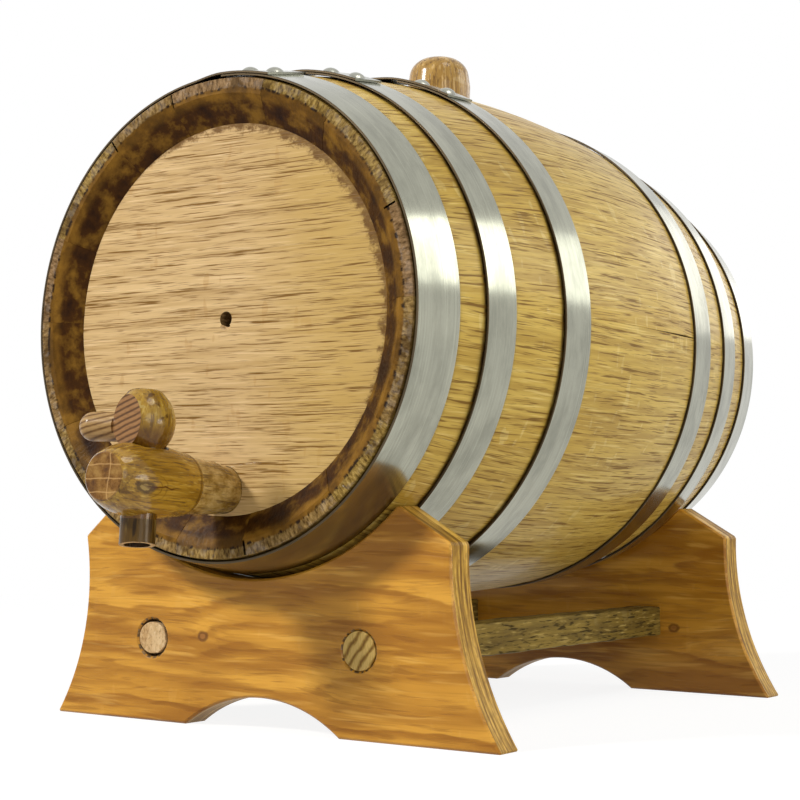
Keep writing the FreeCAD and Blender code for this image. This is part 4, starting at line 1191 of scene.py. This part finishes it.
def make_stretcher(side, number):
    low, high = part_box("stretcher_" + side)
    loop = fillet([(low.x, low.z), (high.x, low.z), (high.x, high.z), (low.x, high.z)], [0.9 * MM] * 4, 2)
    full = []
    for spot, (x, z) in enumerate(loop):
        nx, nz = loop[(spot + 1) % len(loop)]
        parts = 5 if math.hypot(nx - x, nz - z) > 3 * MM else 1
        full += [(x + (nx - x) * k / parts, z + (nz - z) * k / parts) for k in range(parts)]
    rings = [[(x, y, z) for x, z in full] for y in np.linspace(low.y, high.y, 61)]
    piece = lofted("rough_stretcher_" + side, rings, [STRETCHER_OAK])
    sanded(piece, 0.35 * MM, 9 * MM, number)
    middle = (low.x + high.x) / 2

    def grain(points):
        return points[:, 1], points[:, 0] - middle, points[:, 2] - 30 * MM

    finish_piece(piece, "stand", grain, "stretcher_" + side, number, crease=45)


make_cradle("front", 61)
make_cradle("rear", 62)
make_stretcher("left", 63)
make_stretcher("right", 64)


def whittled(angle):
    """Short along the seat's X, which is upright, so that gaps show above and below."""
    across, along = math.sin(angle), math.cos(angle)
    return 6.75 - 0.75 * abs(along) ** 3 + 0.25 * noise.noise(Vector((along * 2, across * 2, 0)))


make_plug("plug_front_left", "front", -1, whittled, PALE_OAK, 90, 71)
make_plug("plug_front_right", "front", 1, lambda angle: 7.1, PLUG_OAK, 0, 72)
make_plug("plug_rear_left", "rear", -1, lambda angle: 7.1, PLUG_OAK, 40, 73)
make_plug("plug_rear_right", "rear", 1, lambda angle: 7.08, PLUG_OAK, 75, 74)


# ---- nodes that stay as they are
def dress_node(node, material):
    data = frame["nodes"][node].data
    data.materials.clear()
    data.materials.append(material)
    add_attribute(data, "grain", mesh_points(data))


dress_node("hoop_rivets", RIVET_STEEL)
dress_node("stand_screws", SCREW_STEEL)
for end in ("front", "rear"):
    dress_node(end + "_head_dowels", PALE_OAK)


# ---- floor and light
def seen_directly(bench):
    """1 for the rays that show the background: straight, mirrored or through glass."""
    path = bench.node("LightPath").outputs
    seen = bench.do("ADD", path["Is Camera Ray"], path["Is Glossy Ray"])
    return bench.do("ADD", seen, path["Is Transmission Ray"], clamp=True)


def make_floor():
    """Floor that fades to plain white away from the object, keeps its soft shadow and throws light back."""
    material = bpy.data.materials.new("floor")
    material.use_nodes = True
    tree = material.node_tree
    tree.nodes.remove(tree.nodes["Principled BSDF"])
    bench = Bench(tree)
    white = (1, 1, 1, 1)
    lit = bench.node("BsdfDiffuse", {"Color": (0.20, 0.20, 0.20, 1)}).outputs[0]
    glow = bench.node("Emission", {"Color": white, "Strength": 0.87}).outputs[0]
    near = bench.node("AddShader", (lit, glow)).outputs[0]
    far = bench.node("Emission", {"Color": white, "Strength": 1.0}).outputs[0]
    away = bench.length(bench.node("NewGeometry").outputs["Position"])
    shown = bench.blend(bench.between(away, 0.25, 0.9), near, far)
    grey = bench.node("BsdfDiffuse", {"Color": (0.62, 0.61, 0.58, 1)}).outputs[0]
    surface = bench.blend(seen_directly(bench), grey, shown)
    bench.feed(tree.nodes["Material Output"].inputs["Surface"], surface)
    reach = 5
    corners = [(-reach, -reach, 0), (reach, -reach, 0), (reach, reach, 0), (-reach, reach, 0)]
    new_piece("floor", corners, [(0, 1, 2, 3)], [material])


def make_lamp(name, place, size, power, colour, tall=None, aim=(0, 0, 0.15)):
    """Soft lamp facing the object: a disk, or a window of the given width and height."""
    data = bpy.data.lights.new(name, "AREA")
    data.shape = "RECTANGLE" if tall else "DISK"
    data.size = size
    if tall:
        data.size_y = tall
    data.energy = power
    data.color = colour
    lamp = bpy.data.objects.new(name, data)
    lamp.location = place
    lamp.rotation_euler = (Vector(aim) - Vector(place)).to_track_quat("-Z", "Y").to_euler()
    bpy.context.scene.collection.objects.link(lamp)


def set_world():
    world = bpy.data.worlds.new("world")
    bpy.context.scene.world = world
    world.use_nodes = True
    tree = world.node_tree
    bench = Bench(tree)
    colour = bench.mix(seen_directly(bench), (0.15, 0.15, 0.15), (1.0, 1.0, 1.0))
    bench.feed(tree.nodes["Background"].inputs["Color"], colour)
    tree.nodes["Background"].inputs["Strength"].default_value = 1.0


make_floor()
set_world()
WALL = Vector((-0.985, -0.174, 0))
for name, place, width, power in (
    ("window_right", Vector((1.131, 0.916, 0.845)), 0.595, 4.6),
    ("window_far", Vector((1.024, 1.522, 0.845)), 0.63, 2.7),
):
    make_lamp(name, place, width, power, (0.98, 1.0, 0.96), tall=0.71, aim=place + WALL)
make_lamp("window_behind", (0.2, 1.5, 0.6), 0.7, 1.5, (1.0, 0.98, 0.95), tall=0.5, aim=(0, 0, 0.6))
make_lamp("lamp_left", (-0.72, -1.18, 1.05), 0.26, 23.5, (1.0, 0.96, 0.9))
make_lamp("room_right", (1.35, -0.8, 0.45), 0.9, 5, (1.0, 0.98, 0.95))
make_lamp("low_right", (1.4, 0.15, 0.14), 0.5, 4.5, (1.0, 0.97, 0.9), aim=(0.08, 0.05, 0.12))
make_lamp("ceiling", (0.75, -0.15, 1.6), 0.7, 7, (1.0, 0.98, 0.95))

bpy.context.scene.view_settings.view_transform = "Standard"
